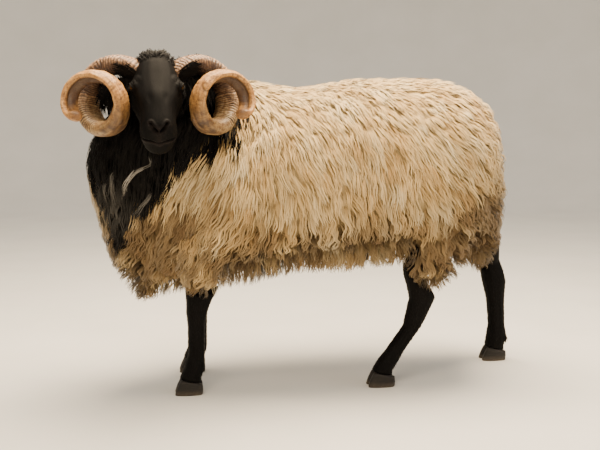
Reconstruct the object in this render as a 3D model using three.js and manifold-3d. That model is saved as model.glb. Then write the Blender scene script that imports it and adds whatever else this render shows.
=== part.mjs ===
// Horned ram with a long hanging fleece, standing, its head turned to its left.
// Units are millimetres and +Z is up. +X runs to the tail, and -Y is the ram's left side.
import * as THREE from "three";
import { mergeVertices } from "three/addons/utils/BufferGeometryUtils.js";
import Module from "manifold-3d";

// ---- driving dimensions ----
const gap = 0.3;                     // clearance between neighbouring pieces
const trunkSides = 24;               // faces around each body
const lobeSides = 12;
const neckSides = 18;
const legSides = 10;
const headSides = 18;
const tailSides = 10;
const earSides = 10;
const clawSides = 12;

// the head's frame: a point midway between the eyes, and how the head is held
const headOrigin = new THREE.Vector3(-63, -243, 769);
const headYaw = THREE.MathUtils.degToRad(2.5);      // from straight left, towards the tail
const headPitch = THREE.MathUtils.degToRad(31);     // nose down
const headRoll = THREE.MathUtils.degToRad(0.7);     // crown leaning to the ram's right

// places on the head are along the face, up from the face line and out to the side
const eye = { along: 0, up: 14, side: 50, radius: 13.5 };
const brow = { along: -4, up: 23, side: 46, radii: [25, 11, 10] };
const nostril = { along: 128, up: -14, side: 16, radii: [9, 8, 5] };
const mouth = { along: 107, up: -54, radii: [36, 46, 1.6], tilt: -10 };
const ear = { along: -40, up: 6, side: 47, length: 108, aimOut: 0.84, aimBack: 0.4, aimDown: 0.3, curl: 9 };

const horn = {
  start: -38, end: 526,              // winding angle, degrees
  steps: 30, sides: 11,
  outLeft: 97, outRight: 86,         // centres of the first turns from the head's origin
  back: 63, down: 12,
  coneAngle: 38,                     // of the coil's axis, outward from straight ahead
  lateralDrift: 87, forwardDrift: 122, drop: 8,
  tipCrowding: 1.25,                 // shorter steps towards the tip, so that it is round
  squareness: 2.3,
};

const hoof = { length: 72, width: 25, toeHeight: 40, heelHeight: 26, cleft: 4 };
const coronetHeightAtLeg = hoof.toeHeight + 3;
const legSquareness = 2.2;
const dewclaw = { height: 64, side: 13, inset: 1, radii: [9, 8, 12] };
const farStride = 13;                // the right foreleg stands this much further back than the left

// nape plane that parts the neck from the trunk: two points of it, seen from the side
const napeTop = { x: 176, z: 808 };
const brisketPoint = { x: -85, z: 325 };
const beyondAll = 3000;              // longer than the whole animal

// ---- tools ----
const wasm = await Module();
wasm.setup();

// Rows of numbers become smooth rows in between, by a Catmull-Rom curve through each column.
function smoothRows(rows, steps) {
  const result = [];
  for (let i = 0; i < rows.length - 1; i += 1) {
    const before = rows[Math.max(i - 1, 0)];
    const after = rows[Math.min(i + 2, rows.length - 1)];
    for (let k = 0; k < steps; k += 1) {
      const t = k / steps;
      result.push(rows[i].map((value, column) => {
        const next = rows[i + 1][column];
        const slopeIn = (next - before[column]) / 2;
        const slopeOut = (after[column] - value) / 2;
        const a = 2 * (value - next) + slopeIn + slopeOut;
        const b = 3 * (next - value) - 2 * slopeIn - slopeOut;
        return ((a * t + b) * t + slopeIn) * t + value;
      }));
    }
  }
  result.push(rows[rows.length - 1]);
  return result;
}

// A rounded outline: across and up are the half axes, and a higher power is a squarer shape.
function ring(centre, across, up, sides, power = 2, lowPower = power, lowNarrow = 0) {
  const points = [];
  for (let i = 0; i < sides; i += 1) {
    const angle = (i / sides) * 2 * Math.PI;
    const c = Math.cos(angle);
    const s = Math.sin(angle);
    const p = 2 / (s < 0 ? lowPower : power);
    const narrow = 1 - lowNarrow * Math.max(0, -s);
    const x = Math.sign(c) * Math.abs(c) ** p * narrow;
    const y = Math.sign(s) * Math.abs(s) ** p;
    points.push(centre.clone().addScaledVector(across, x).addScaledVector(up, y));
  }
  return points;
}

// Rings of equal count joined into one closed body, its ends closed by fans.
function loft(rings) {
  const sides = rings[0].length;
  const points = rings.flat();
  const triangles = [];
  for (let r = 0; r < rings.length - 1; r += 1) {
    for (let i = 0; i < sides; i += 1) {
      const a = r * sides + i;
      const b = r * sides + ((i + 1) % sides);
      triangles.push([a, b, b + sides], [a, b + sides, a + sides]);
    }
  }
  for (const end of [0, rings.length - 1]) {
    const centre = new THREE.Vector3();
    rings[end].forEach((point) => centre.addScaledVector(point, 1 / sides));
    const hub = points.push(centre) - 1;
    for (let i = 0; i < sides; i += 1) {
      const a = end * sides + i;
      const b = end * sides + ((i + 1) % sides);
      triangles.push(end === 0 ? [b, a, hub] : [a, b, hub]);
    }
  }
  let volume = 0;
  triangles.forEach(([a, b, c]) => {
    volume += points[a].dot(points[b].clone().cross(points[c]));
  });
  const index = triangles.flatMap(([a, b, c]) => (volume < 0 ? [a, c, b] : [a, b, c]));
  return solid(points.flatMap((point) => point.toArray()), index);
}

function solid(coordinates, index) {
  return new wasm.Manifold(new wasm.Mesh({
    numProp: 3,
    vertProperties: new Float32Array(coordinates),
    triVerts: new Uint32Array(index),
  }));
}

// A closed three.js geometry, placed, as a solid.
function solidOf(geometry, matrix) {
  const placed = geometry.clone().applyMatrix4(matrix);
  placed.deleteAttribute("normal");
  placed.deleteAttribute("uv");
  const merged = mergeVertices(placed, 1e-4);
  return solid(merged.getAttribute("position").array, merged.getIndex().array);
}

// The same body with every face moved outward by the gap, to cut its neighbours with.
function grown(body) {
  const { vertProperties, triVerts } = body.getMesh();
  const geometry = new THREE.BufferGeometry();
  geometry.setAttribute("position", new THREE.BufferAttribute(new Float32Array(vertProperties), 3));
  geometry.setIndex(new THREE.BufferAttribute(new Uint32Array(triVerts), 1));
  geometry.computeVertexNormals();
  const normals = geometry.getAttribute("normal").array;
  return solid(vertProperties.map((value, i) => value + normals[i] * gap), triVerts);
}

function largestPiece(body) {
  const pieces = body.decompose();
  pieces.sort((a, b) => b.volume() - a.volume());
  return pieces[0];
}

function ellipsoid(centre, radii, basis, detail = 12) {
  const matrix = basis.clone().scale(new THREE.Vector3(...radii)).setPosition(centre);
  return solidOf(new THREE.SphereGeometry(1, detail, Math.round(detail * 0.7)), matrix);
}

const upright = new THREE.Matrix4();
const alongX = new THREE.Vector3(1, 0, 0);
const alongY = new THREE.Vector3(0, 1, 0);
const alongZ = new THREE.Vector3(0, 0, 1);

// A body stacked from level rounded outlines: rows of height, centre x and y, half sizes x and y.
function stack(rows, steps, sides) {
  return loft(smoothRows(rows, steps).map(([z, x, y, halfX, halfY]) => ring(
    new THREE.Vector3(x, y, z),
    alongX.clone().multiplyScalar(halfX),
    alongY.clone().multiplyScalar(halfY),
    sides,
  )));
}

// ---- trunk ----
// Rows run from the brisket to the rump: back line x and z, hem line x and z, half width, and
// how square the back is across, which is narrow at the withers and broad over the loin.
const trunkRows = [
  [-150, 420, -118, 262, 40, 2],
  [-135, 520, -98, 240, 90, 2],
  [-60, 640, -50, 250, 140, 1.9],
  [40, 750, 10, 262, 172, 1.7],
  [150, 808, 90, 268, 196, 1.65],
  [215, 803, 165, 275, 210, 1.85],
  [285, 789, 260, 300, 222, 2.05],
  [350, 796, 330, 308, 230, 2.15],
  [430, 810, 420, 308, 233, 2.2],
  [580, 814, 545, 320, 230, 2.2],
  [690, 811, 660, 318, 220, 2.2],
  [758, 787, 732, 312, 205, 2.15],
  [814, 742, 790, 310, 176, 2.1],
  [839, 660, 825, 318, 132, 2],
  [845, 560, 840, 390, 62, 2],
];
const hemPower = 2.9;                // the sides hang straight to the hem

function trunkBody() {
  return loft(smoothRows(trunkRows, 2).map(([topX, topZ, hemX, hemZ, halfWidth, power]) => {
    const top = new THREE.Vector3(topX, 0, topZ);
    const hem = new THREE.Vector3(hemX, 0, hemZ);
    const half = top.clone().sub(hem).multiplyScalar(0.5);
    const across = alongY.clone().multiplyScalar(halfWidth);
    return ring(top.add(hem).multiplyScalar(0.5), across, half, trunkSides, power, hemPower);
  }));
}

// Wool over the shoulders and thighs: the left hind leg reaches forward and the right one back.
const shoulderRows = [
  [266, 40, 120, 26, 26],
  [292, 42, 124, 58, 52],
  [400, 56, 108, 88, 84],
  [520, 84, 88, 96, 94],
  [640, 108, 62, 76, 82],
  [700, 118, 46, 44, 50],
];
const leftThighRows = [
  [267, 640, -136, 16, 20],
  [300, 642, -138, 62, 54],
  [380, 655, -135, 98, 80],
  [480, 690, -122, 118, 96],
  [600, 728, -95, 100, 96],
  [700, 738, -80, 56, 60],
];
const rightThighRows = [
  [273, 850, 100, 20, 26],
  [305, 846, 104, 38, 52],
  [380, 822, 110, 56, 72],
  [480, 788, 112, 78, 92],
  [600, 748, 95, 88, 96],
  [700, 738, 80, 56, 60],
];

// ---- neck, with its mane and bib ----
const neckRows = [
  [232, -112, 0, 12, 14],
  [262, -105, 0, 42, 40],
  [325, -90, -4, 96, 82],
  [400, -74, -10, 138, 108],
  [480, -62, -10, 170, 134],
  [570, -56, -22, 194, 144],
  [635, -52, -44, 188, 136],
  [690, -44, -66, 168, 122],
  [750, -30, -88, 124, 108],
  [805, -14, -98, 94, 92],
  [842, 14, -84, 78, 70],
  [866, 42, -62, 34, 38],
];

// The muscle of the neck bends from the withers to the back of the head.
// Rows: centre x, y and z, half width, half height.
const neckBendRows = [
  [240, 0, 600, 120, 150],
  [130, -4, 648, 128, 152],
  [40, -20, 688, 118, 152],
  [-22, -58, 722, 104, 132],
  [-52, -118, 762, 88, 92],
  [-60, -160, 785, 60, 62],
];

function neckBend() {
  const rows = smoothRows(neckBendRows, 2);
  const centres = rows.map(([x, y, z]) => new THREE.Vector3(x, y, z));
  return loft(rows.map(([, , , halfWidth, halfHeight], i) => {
    const before = centres[Math.max(i - 1, 0)];
    const after = centres[Math.min(i + 1, rows.length - 1)];
    const direction = after.clone().sub(before).normalize();
    const across = new THREE.Vector3().crossVectors(alongZ, direction).normalize();
    const up = new THREE.Vector3().crossVectors(direction, across);
    return ring(centres[i], across.multiplyScalar(halfWidth), up.multiplyScalar(halfHeight), neckSides);
  }));
}

// A unit direction turned by an angle towards another one square to it.
function turned(from, towards, angle) {
  return from.clone().multiplyScalar(Math.cos(angle)).addScaledVector(towards, Math.sin(angle));
}

// The half of space in front of the nape plane (side 1) or behind it (side -1).
function napeHalf(side) {
  const slope = Math.atan2(napeTop.z - brisketPoint.z, napeTop.x - brisketPoint.x);
  const matrix = new THREE.Matrix4().makeRotationY(-slope);
  const normal = new THREE.Vector3(-Math.sin(slope), 0, Math.cos(slope));
  const centre = new THREE.Vector3(napeTop.x, 0, napeTop.z)
    .addScaledVector(normal, side * (beyondAll + gap) / 2);
  const block = new THREE.BoxGeometry(beyondAll, beyondAll, beyondAll);
  return solidOf(block, matrix.setPosition(centre));
}

// ---- head ----
const forward = new THREE.Vector3(Math.sin(headYaw), -Math.cos(headYaw), 0);
const level = new THREE.Vector3().crossVectors(alongZ, forward);
const headSide = turned(level, alongZ, headRoll);
const crown = turned(alongZ, level, -headRoll);
const headAlong = turned(forward, crown, -headPitch);
const headUp = turned(crown, forward, headPitch);
const headBasis = new THREE.Matrix4().makeBasis(headAlong, headSide, headUp);

// A point of the head from its distance along the face, up from the face line, and to the left.
function headPoint(along, up, side) {
  return headOrigin.clone()
    .addScaledVector(headAlong, along)
    .addScaledVector(headUp, up)
    .addScaledVector(headSide, side);
}

// Rows from crown to nose: distance along the face, face line, jaw line, half width, jaw taper.
const headRows = [
  [-104, 33, -16, 19, 0.1],
  [-96, 52, -40, 37, 0.12],
  [-74, 64, -71, 50, 0.15],
  [-40, 62, -96, 57, 0.2],
  [0, 50, -98, 60, 0.32],
  [38, 38, -92, 50, 0.3],
  [76, 25, -88, 42, 0.2],
  [101, 15, -91, 42, 0.16],
  [115, 7, -88, 39, 0.14],
  [126, -2, -70, 31, 0.1],
  [131, -13, -43, 17, 0.1],
];

const faceSquareness = 2.35;
const jawSquareness = 2.2;

function headBody() {
  return loft(smoothRows(headRows, 2).map(([along, top, bottom, halfWidth, taper]) => ring(
    headPoint(along, (top + bottom) / 2, 0),
    headSide.clone().multiplyScalar(halfWidth),
    headUp.clone().multiplyScalar((top - bottom) / 2),
    headSides,
    faceSquareness,
    jawSquareness,
    taper,
  )));
}

function eyeBody(side) {
  const centre = headPoint(eye.along, eye.up, side * eye.side);
  return ellipsoid(centre, [eye.radius, eye.radius, eye.radius], headBasis, 11);
}

// Brows stand out over the eyes, and nostrils and the mouth are cut in.
function headWithFace() {
  let body = headBody();
  for (const side of [-1, 1]) {
    body = body.add(ellipsoid(headPoint(brow.along, brow.up, side * brow.side), brow.radii, headBasis, 8));
  }
  for (const side of [-1, 1]) {
    body = body.subtract(grown(eyeBody(side)));
    const opening = headPoint(nostril.along, nostril.up, side * nostril.side);
    body = body.subtract(ellipsoid(opening, nostril.radii, headBasis, 6));
  }
  const tilt = THREE.MathUtils.degToRad(mouth.tilt);
  const lips = new THREE.Matrix4().makeRotationAxis(headSide, tilt).multiply(headBasis);
  const cut = ellipsoid(headPoint(mouth.along, mouth.up, 0), mouth.radii, lips);
  return largestPiece(body.subtract(cut));
}

// Ears lie under the horns, out and back, each a leaf curling down to its tip.
// Rows: part of the length, half width, half thickness.
const earRows = [
  [0, 15, 10],
  [0.22, 21, 8],
  [0.5, 24, 6],
  [0.78, 17, 4.5],
  [1, 4, 2.5],
];

function earBody(side) {
  const base = headPoint(ear.along, ear.up, side * ear.side);
  const aim = headSide.clone().multiplyScalar(side * ear.aimOut)
    .addScaledVector(forward, -ear.aimBack)
    .addScaledVector(alongZ, -ear.aimDown)
    .normalize();
  const wide = new THREE.Vector3().crossVectors(aim, forward).normalize();
  const thick = new THREE.Vector3().crossVectors(aim, wide);
  return loft(smoothRows(earRows, 2).map(([part, halfWidth, halfThick]) => ring(
    base.clone()
      .addScaledVector(aim, part * ear.length)
      .addScaledVector(thick, -ear.curl * side * part * part),
    wide.clone().multiplyScalar(halfWidth),
    thick.clone().multiplyScalar(halfThick),
    earSides,
  )));
}

// ---- horns ----
// Along the winding angle: coil radius, half thickness towards the coil's centre, half breadth.
const hornRows = [
  [-38, 81, 25, 35],
  [60, 81, 25, 38],
  [150, 74, 21, 36],
  [240, 60, 17.5, 25.5],
  [330, 55, 16.5, 24.5],
  [420, 53, 16, 24],
  [480, 44, 15.5, 22],
  [510, 37, 14, 19],
  [521, 34, 10, 13],
  [526, 33, 5, 6],
];

function hornSize(angle) {
  let i = 0;
  while (i < hornRows.length - 2 && angle > hornRows[i + 1][0]) {
    i += 1;
  }
  const [low, ...from] = hornRows[i];
  const [high, ...to] = hornRows[i + 1];
  return from.map((value, k) => THREE.MathUtils.lerp(value, to[k], (angle - low) / (high - low)));
}

// side is 1 for the left horn and -1 for the right.
function hornBody(side) {
  const outward = headSide.clone().multiplyScalar(side);
  const out = side > 0 ? horn.outLeft : horn.outRight;
  const cone = THREE.MathUtils.degToRad(horn.coneAngle);
  const radialSide = turned(outward, forward, -cone);
  const centreOf = (angle) => {
    const part = angle / horn.end;
    return headOrigin.clone()
      .addScaledVector(outward, out + horn.lateralDrift * part)
      .addScaledVector(forward, horn.forwardDrift * part - horn.back)
      .addScaledVector(crown, -horn.down - horn.drop * part);
  };
  const radialOf = (angle) => turned(crown, radialSide, THREE.MathUtils.degToRad(angle));
  const pointOf = (angle) => centreOf(angle).addScaledVector(radialOf(angle), hornSize(angle)[0]);
  const rings = [];
  for (let i = 0; i <= horn.steps; i += 1) {
    const part = 1 - (1 - i / horn.steps) ** horn.tipCrowding;
    const angle = THREE.MathUtils.lerp(horn.start, horn.end, part);
    const [, thick, broad] = hornSize(angle);
    const tangent = pointOf(Math.min(angle + 1, horn.end)).sub(pointOf(Math.min(angle, horn.end - 1)));
    tangent.normalize();
    const across = new THREE.Vector3().crossVectors(tangent, radialOf(angle)).normalize();
    const radial = new THREE.Vector3().crossVectors(across, tangent).normalize();
    rings.push(ring(
      pointOf(angle),
      across.multiplyScalar(broad),
      radial.multiplyScalar(thick),
      horn.sides,
      horn.squareness,
    ));
  }
  return loft(rings);
}

// ---- legs ----
// Rows from inside the fleece down to the coronet: height, centre x and y, half sizes x and y.
const legRows = {
  foreleg_left: [
    [345, 42, -98, 52, 34],
    [275, 40, -100, 44, 31],
    [238, 31, -102, 33, 28],
    [210, 26, -103, 28, 27],
    [180, 25, -104, 24, 23],
    [105, 24, -105, 23, 21],
    [70, 19, -105, 28, 26],
    [coronetHeightAtLeg, 8, -105, 29, 26],
  ],
  hindleg_left: [
    [370, 606, -118, 44, 36],
    [302, 595, -112, 28, 27],
    [265, 611, -108, 33, 27],
    [236, 622, -106, 37, 26],
    [202, 611, -105, 33, 25],
    [160, 596, -105, 27, 22],
    [95, 550, -105, 27, 21],
    [68, 531, -105, 30, 25],
    [coronetHeightAtLeg, 516, -105, 29, 26],
  ],
  hindleg_right: [
    [370, 858, 118, 46, 38],
    [300, 881, 112, 33, 29],
    [262, 892, 108, 36, 28],
    [234, 898, 106, 37, 27],
    [180, 903, 105, 28, 23],
    [105, 908, 105, 26, 21],
    [70, 909, 105, 32, 25],
    [coronetHeightAtLeg, 903, 105, 30, 26],
  ],
};
legRows.foreleg_right = legRows.foreleg_left.map(
  ([z, x, y, halfX, halfY]) => [z, x + farStride, -y, halfX, halfY],
);

// The coronet slopes down from the toe to the heel.
function coronetHeight(x, footX) {
  const part = THREE.MathUtils.clamp((x - footX) / hoof.length + 0.5, 0, 1);
  return THREE.MathUtils.lerp(hoof.toeHeight, hoof.heelHeight, part);
}

function legBody(name) {
  const rows = legRows[name];
  const [, footX, footY, halfX, halfY] = rows[rows.length - 1];
  const outline = ([z, x, y, a, b]) => ring(
    new THREE.Vector3(x, y, z),
    alongX.clone().multiplyScalar(a),
    alongY.clone().multiplyScalar(b),
    legSides,
    legSquareness,
  );
  const rings = rows.map(outline);
  const coronet = outline([0, footX, footY, halfX, halfY]);
  rings.push(coronet.map((point) => point.setZ(coronetHeight(point.x, footX) + gap)));
  let body = loft(rings);
  for (const side of [-1, 1]) {
    const back = footX + halfX - dewclaw.inset;
    const centre = new THREE.Vector3(back, footY + side * dewclaw.side, dewclaw.height);
    body = body.add(ellipsoid(centre, dewclaw.radii, upright, 6));
  }
  return body;
}

// One half of a cloven hoof: a flat sole, a sloping front wall and a sloping coronet.
// Rows: part of the height, part of the hoof's length and width, shift towards the toe.
const clawRows = [
  [0, 1, 1, 6],
  [0.5, 0.92, 0.96, 2],
  [1, 0.78, 0.88, -2],
];
const clawSquareness = 2.5;

function clawBody(footX, footY, side) {
  const centreY = footY + side * (hoof.width + hoof.cleft) / 2;
  return loft(clawRows.map(([part, length, width, shift]) => {
    const outline = ring(
      new THREE.Vector3(footX - shift, centreY, 0),
      alongX.clone().multiplyScalar(length * hoof.length / 2),
      alongY.clone().multiplyScalar(width * hoof.width / 2),
      clawSides,
      clawSquareness,
    );
    return outline.map((point) => point.setZ(part * coronetHeight(point.x, footX)));
  }));
}

// ---- tail ----
const tailRows = [
  [732, 808, 0, 12, 18],
  [700, 822, 0, 15, 30],
  [640, 832, 0, 18, 38],
  [540, 840, 0, 19, 46],
  [430, 838, 0, 19, 44],
  [362, 832, 0, 16, 34],
  [338, 830, 0, 6, 14],
];

// ---- materials ----
const finishes = {
  fleece: new THREE.MeshStandardMaterial({ color: 0xd9c39a, roughness: 0.95, metalness: 0 }),
  blackHair: new THREE.MeshStandardMaterial({ color: 0x1d1b1a, roughness: 0.8, metalness: 0 }),
  horn: new THREE.MeshStandardMaterial({ color: 0xc79a5e, roughness: 0.5, metalness: 0 }),
  hoof: new THREE.MeshStandardMaterial({ color: 0x2b2420, roughness: 0.55, metalness: 0 }),
  eye: new THREE.MeshStandardMaterial({ color: 0x8a5a1e, roughness: 0.1, metalness: 0 }),
};

const ram = new THREE.Group();

function addPart(name, body, finish) {
  const { vertProperties, triVerts } = body.getMesh();
  const geometry = new THREE.BufferGeometry();
  geometry.setAttribute("position", new THREE.BufferAttribute(new Float32Array(vertProperties), 3));
  geometry.setIndex(new THREE.BufferAttribute(new Uint32Array(triVerts), 1));
  const mesh = new THREE.Mesh(geometry, finishes[finish].clone());
  mesh.name = name;
  ram.add(mesh);
}

// ---- assembly ----
const sides = { left: 1, right: -1 };
const leftShoulderRows = shoulderRows.map(([z, x, y, halfX, halfY]) => [z, x, -y, halfX, halfY]);
const lobes = [shoulderRows, leftShoulderRows, leftThighRows, rightThighRows];
const fleece = [trunkBody(), ...lobes.map((rows) => stack(rows, 2, lobeSides))];
const mane = [stack(neckRows, 2, neckSides), neckBend()];
const torso = [...fleece, ...mane].reduce((whole, body) => whole.add(body));
const skull = headBody();
const horns = { left: hornBody(1), right: hornBody(-1) };

// Takes from a body all that the grown neighbours fill, and keeps its main piece.
function clearOf(body, ...neighbours) {
  return largestPiece(neighbours.reduce((rest, neighbour) => rest.subtract(grown(neighbour)), body));
}

const frontOfNape = torso.intersect(napeHalf(1));
addPart("trunk", clearOf(torso.intersect(napeHalf(-1)), horns.left, horns.right), "fleece");
addPart("neck", clearOf(frontOfNape, skull, horns.left, horns.right), "blackHair");
addPart("tail", clearOf(stack(tailRows, 1, tailSides), ...fleece), "fleece");
addPart("head", clearOf(headWithFace(), horns.left, horns.right), "blackHair");

for (const [word, side] of Object.entries(sides)) {
  addPart(`eye_${word}`, eyeBody(side), "eye");
  addPart(`horn_${word}`, horns[word], "horn");
  addPart(`ear_${word}`, clearOf(earBody(side), skull, ...mane, horns[word]), "blackHair");
}

for (const name of Object.keys(legRows)) {
  addPart(name, clearOf(legBody(name), ...fleece, ...mane), "blackHair");
  const [, footX, footY] = legRows[name][legRows[name].length - 1];
  addPart(`${name}_claw_inner`, clawBody(footX, footY, -Math.sign(footY)), "hoof");
  addPart(`${name}_claw_outer`, clawBody(footX, footY, Math.sign(footY)), "hoof");
}

// the origin is under the middle of the whole animal, on the floor
const box = new THREE.Box3().setFromObject(ram);
ram.position.set(-(box.min.x + box.max.x) / 2, -(box.min.y + box.max.y) / 2, -box.min.z);

export default ram;
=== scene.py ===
import bpy
import bmesh
import math
from functools import partial
import numpy as np
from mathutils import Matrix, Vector, noise
from mathutils.bvhtree import BVHTree


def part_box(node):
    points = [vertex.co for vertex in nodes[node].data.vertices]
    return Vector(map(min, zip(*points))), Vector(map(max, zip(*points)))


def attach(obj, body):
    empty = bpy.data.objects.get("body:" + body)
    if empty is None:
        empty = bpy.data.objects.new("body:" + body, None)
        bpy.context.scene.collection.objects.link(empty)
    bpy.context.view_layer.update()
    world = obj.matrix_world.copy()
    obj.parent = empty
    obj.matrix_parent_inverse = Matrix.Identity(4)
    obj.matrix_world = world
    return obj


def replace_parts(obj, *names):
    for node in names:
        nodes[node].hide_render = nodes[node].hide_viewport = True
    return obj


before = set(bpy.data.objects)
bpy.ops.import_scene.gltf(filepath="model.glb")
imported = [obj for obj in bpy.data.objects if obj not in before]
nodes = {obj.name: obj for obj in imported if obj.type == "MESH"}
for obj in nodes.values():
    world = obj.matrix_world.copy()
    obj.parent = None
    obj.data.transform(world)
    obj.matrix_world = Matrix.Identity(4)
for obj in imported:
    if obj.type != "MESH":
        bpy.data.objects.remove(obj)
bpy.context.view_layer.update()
rng = np.random.default_rng(41)

# Rows of numbers below are in millimetres on the ram's own axes; the left fore hoof ties them to the frame.
hoofLow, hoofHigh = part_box("foreleg_left_claw_outer")
shift = np.array([(hoofLow.x + hoofHigh.x) / 2 - 0.002, (hoofLow.y + hoofHigh.y) / 2 + 0.1195, 0.0])


def toFrame(points):
    return np.asarray(points, float) / 1000 + shift


def toRows(points):
    return (np.asarray(points, float) - shift) * 1000


def unit(v):
    v = np.asarray(v, float)
    return v / np.maximum(np.linalg.norm(v, axis=-1, keepdims=True), 1e-9)


def ease(x, low, high):  # 0 below low, 1 above high, smooth between
    t = np.clip((np.asarray(x, float) - low) / (high - low), 0, 1)
    return t * t * (3 - 2 * t)


def bell(distance, width):
    return np.exp(-(np.asarray(distance, float) / width) ** 2)


def mix(a, b, t):
    return a + (b - a) * t


def wander(points, size, seed=0.0):  # slow noise, -1 to 1, size in mm
    return np.array([noise.noise(Vector(p / size) + Vector((seed, seed * 1.7, -seed))) for p in points])


def dot(a, b):
    return (a * b).sum(-1)


def away(points, spot):  # how far each point is from one spot
    return np.linalg.norm(points - spot, axis=1)


def alongSurface(way, normals, amount=1):  # takes out of a way what runs along the normals
    return unit(way - normals * dot(way, normals)[:, None] * amount)


# the head's own axes: along the face, out to its left, and up from it
head = {"origin": (-63, -243, 769), "yaw": 2.5, "pitch": 31, "roll": 0.7}
yaw, pitch, roll = (math.radians(head[k]) for k in ("yaw", "pitch", "roll"))
headForward = np.array([math.sin(yaw), -math.cos(yaw), 0])
headLevel = np.cross([0, 0, 1], headForward)
headSide = headLevel * math.cos(roll) + np.array([0, 0, math.sin(roll)])
headCrown = np.array([0, 0, math.cos(roll)]) - headLevel * math.sin(roll)
headAlong = headForward * math.cos(pitch) - headCrown * math.sin(pitch)
headUp = headForward * math.sin(pitch) + headCrown * math.cos(pitch)
headAxes = np.array([headAlong, headSide, headUp])
headOrigin = np.array(head["origin"], float)


def toHead(rows):
    return (rows - headOrigin) @ headAxes.T


def fromHead(along, side, up):
    return headOrigin + np.array([along, side, up], float) @ headAxes


# meshes
def makeMesh(name, points, quads=(), tris=()):
    quads = np.asarray(quads, np.int32).reshape(-1, 4)
    tris = np.asarray(tris, np.int32).reshape(-1, 3)
    mesh = bpy.data.meshes.new(name)
    mesh.vertices.add(len(points))
    mesh.vertices.foreach_set("co", np.asarray(points, np.float32).ravel())
    loops = np.concatenate([quads.ravel(), tris.ravel()])
    mesh.loops.add(len(loops))
    mesh.loops.foreach_set("vertex_index", loops)
    starts = np.concatenate([np.arange(len(quads)) * 4, len(quads) * 4 + np.arange(len(tris)) * 3])
    mesh.polygons.add(len(starts))
    mesh.polygons.foreach_set("loop_start", starts.astype(np.int32))
    mesh.update(calc_edges=True)
    mesh.validate()
    mesh.polygons.foreach_set("use_smooth", np.ones(len(mesh.polygons), bool))
    return mesh


def makeObject(name, mesh, materials=()):
    piece = bpy.data.objects.new(name, mesh)
    bpy.context.scene.collection.objects.link(piece)
    for material in materials:
        mesh.materials.append(material)
    return piece


def read(items, key, width, kind=np.float32):
    flat = np.empty(len(items) * width, kind)
    items.foreach_get(key, flat)
    return flat.reshape(-1, width)


def pointsOf(mesh):
    return read(mesh.vertices, "co", 3).astype(float)


def normalsOf(mesh):
    return read(mesh.vertex_normals, "vector", 3).astype(float)


def edgesOf(mesh):
    return read(mesh.edges, "vertices", 2, np.int32)


def cornersOf(mesh):
    return read(mesh.loops, "vertex_index", 1, np.int32).ravel()


def treeOf(piece):
    faces = [list(p.vertices) for p in piece.data.polygons]
    return BVHTree.FromPolygons(toRows(pointsOf(piece.data)).tolist(), faces)


def setPoints(mesh, points):
    mesh.vertices.foreach_set("co", np.asarray(points, np.float32).ravel())
    mesh.update()


def relax(points, edges, amount, times, weight=None):
    count = np.bincount(edges.ravel(), minlength=len(points))[:, None]
    amount = amount if weight is None else amount * weight[:, None]
    for _ in range(times):
        total = np.zeros_like(points)
        np.add.at(total, edges[:, 0], points[edges[:, 1]])
        np.add.at(total, edges[:, 1], points[edges[:, 0]])
        points = points + (total / np.maximum(count, 1) - points) * amount
    return points


def setNumbers(mesh, **columns):
    for name, values in columns.items():
        mesh.attributes.new(name, "FLOAT", "POINT").data.foreach_set("value", np.asarray(values, np.float32))


def applied(piece, kind, **settings):  # the mesh after one modifier
    modifier = piece.modifiers.new(kind, kind)
    for key, value in settings.items():
        setattr(modifier, key, value)
    graph = bpy.context.evaluated_depsgraph_get()
    mesh = bpy.data.meshes.new_from_object(piece.evaluated_get(graph))
    piece.modifiers.clear()
    piece.data = mesh
    return piece


def joined(name, meshes):
    work = bmesh.new()
    for mesh in meshes:
        work.from_mesh(mesh)
    whole = bpy.data.meshes.new(name)
    work.to_mesh(whole)
    work.free()
    return makeObject(name, whole)


def remeshed(name, meshes, voxel):
    return applied(joined(name, meshes), "REMESH", mode="VOXEL", voxel_size=voxel / 1000)


def roundPoints(sides, power=2.0):  # angles round a ring, their cosines and sines, and both made squarer
    angle = np.arange(sides) / sides * 2 * math.pi
    c, s = np.cos(angle), np.sin(angle)
    return angle, c, s, np.sign(c) * np.abs(c) ** (2 / power), np.sign(s) * np.abs(s) ** (2 / power)


def outline(centre, across, up, sides, power=2.0):
    x, y = roundPoints(sides, power)[3:]
    return np.asarray(centre) + x[:, None] * np.asarray(across) + y[:, None] * np.asarray(up)


def loft(rings):  # faces for rings of equal count, closed by a fan at each end
    rings = np.asarray(rings, float)
    count, sides = rings.shape[:2]
    a = np.arange(count - 1)[:, None] * sides + np.arange(sides)
    b = np.arange(count - 1)[:, None] * sides + (np.arange(sides) + 1) % sides
    quads = np.stack([a, b, b + sides, a + sides], -1).reshape(-1, 4)
    points = np.concatenate([rings.reshape(-1, 3), rings[[0, -1]].mean(1)])
    hub = count * sides
    i = np.arange(sides)
    j = (i + 1) % sides
    first = np.stack([j, i, np.full(sides, hub)], 1)
    last = np.stack([i, j, np.full(sides, hub + 1)], 1)
    last[:, :2] += (count - 1) * sides
    tris = np.concatenate([first, last])
    v = points[quads]
    volume = (np.cross(v[:, 1] - v[:, 0], v[:, 2] - v[:, 0]) * (v[:, 0] - points.mean(0))).sum()
    if volume < 0:
        quads, tris = quads[:, ::-1], tris[:, ::-1]
    return points, quads, tris


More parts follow.
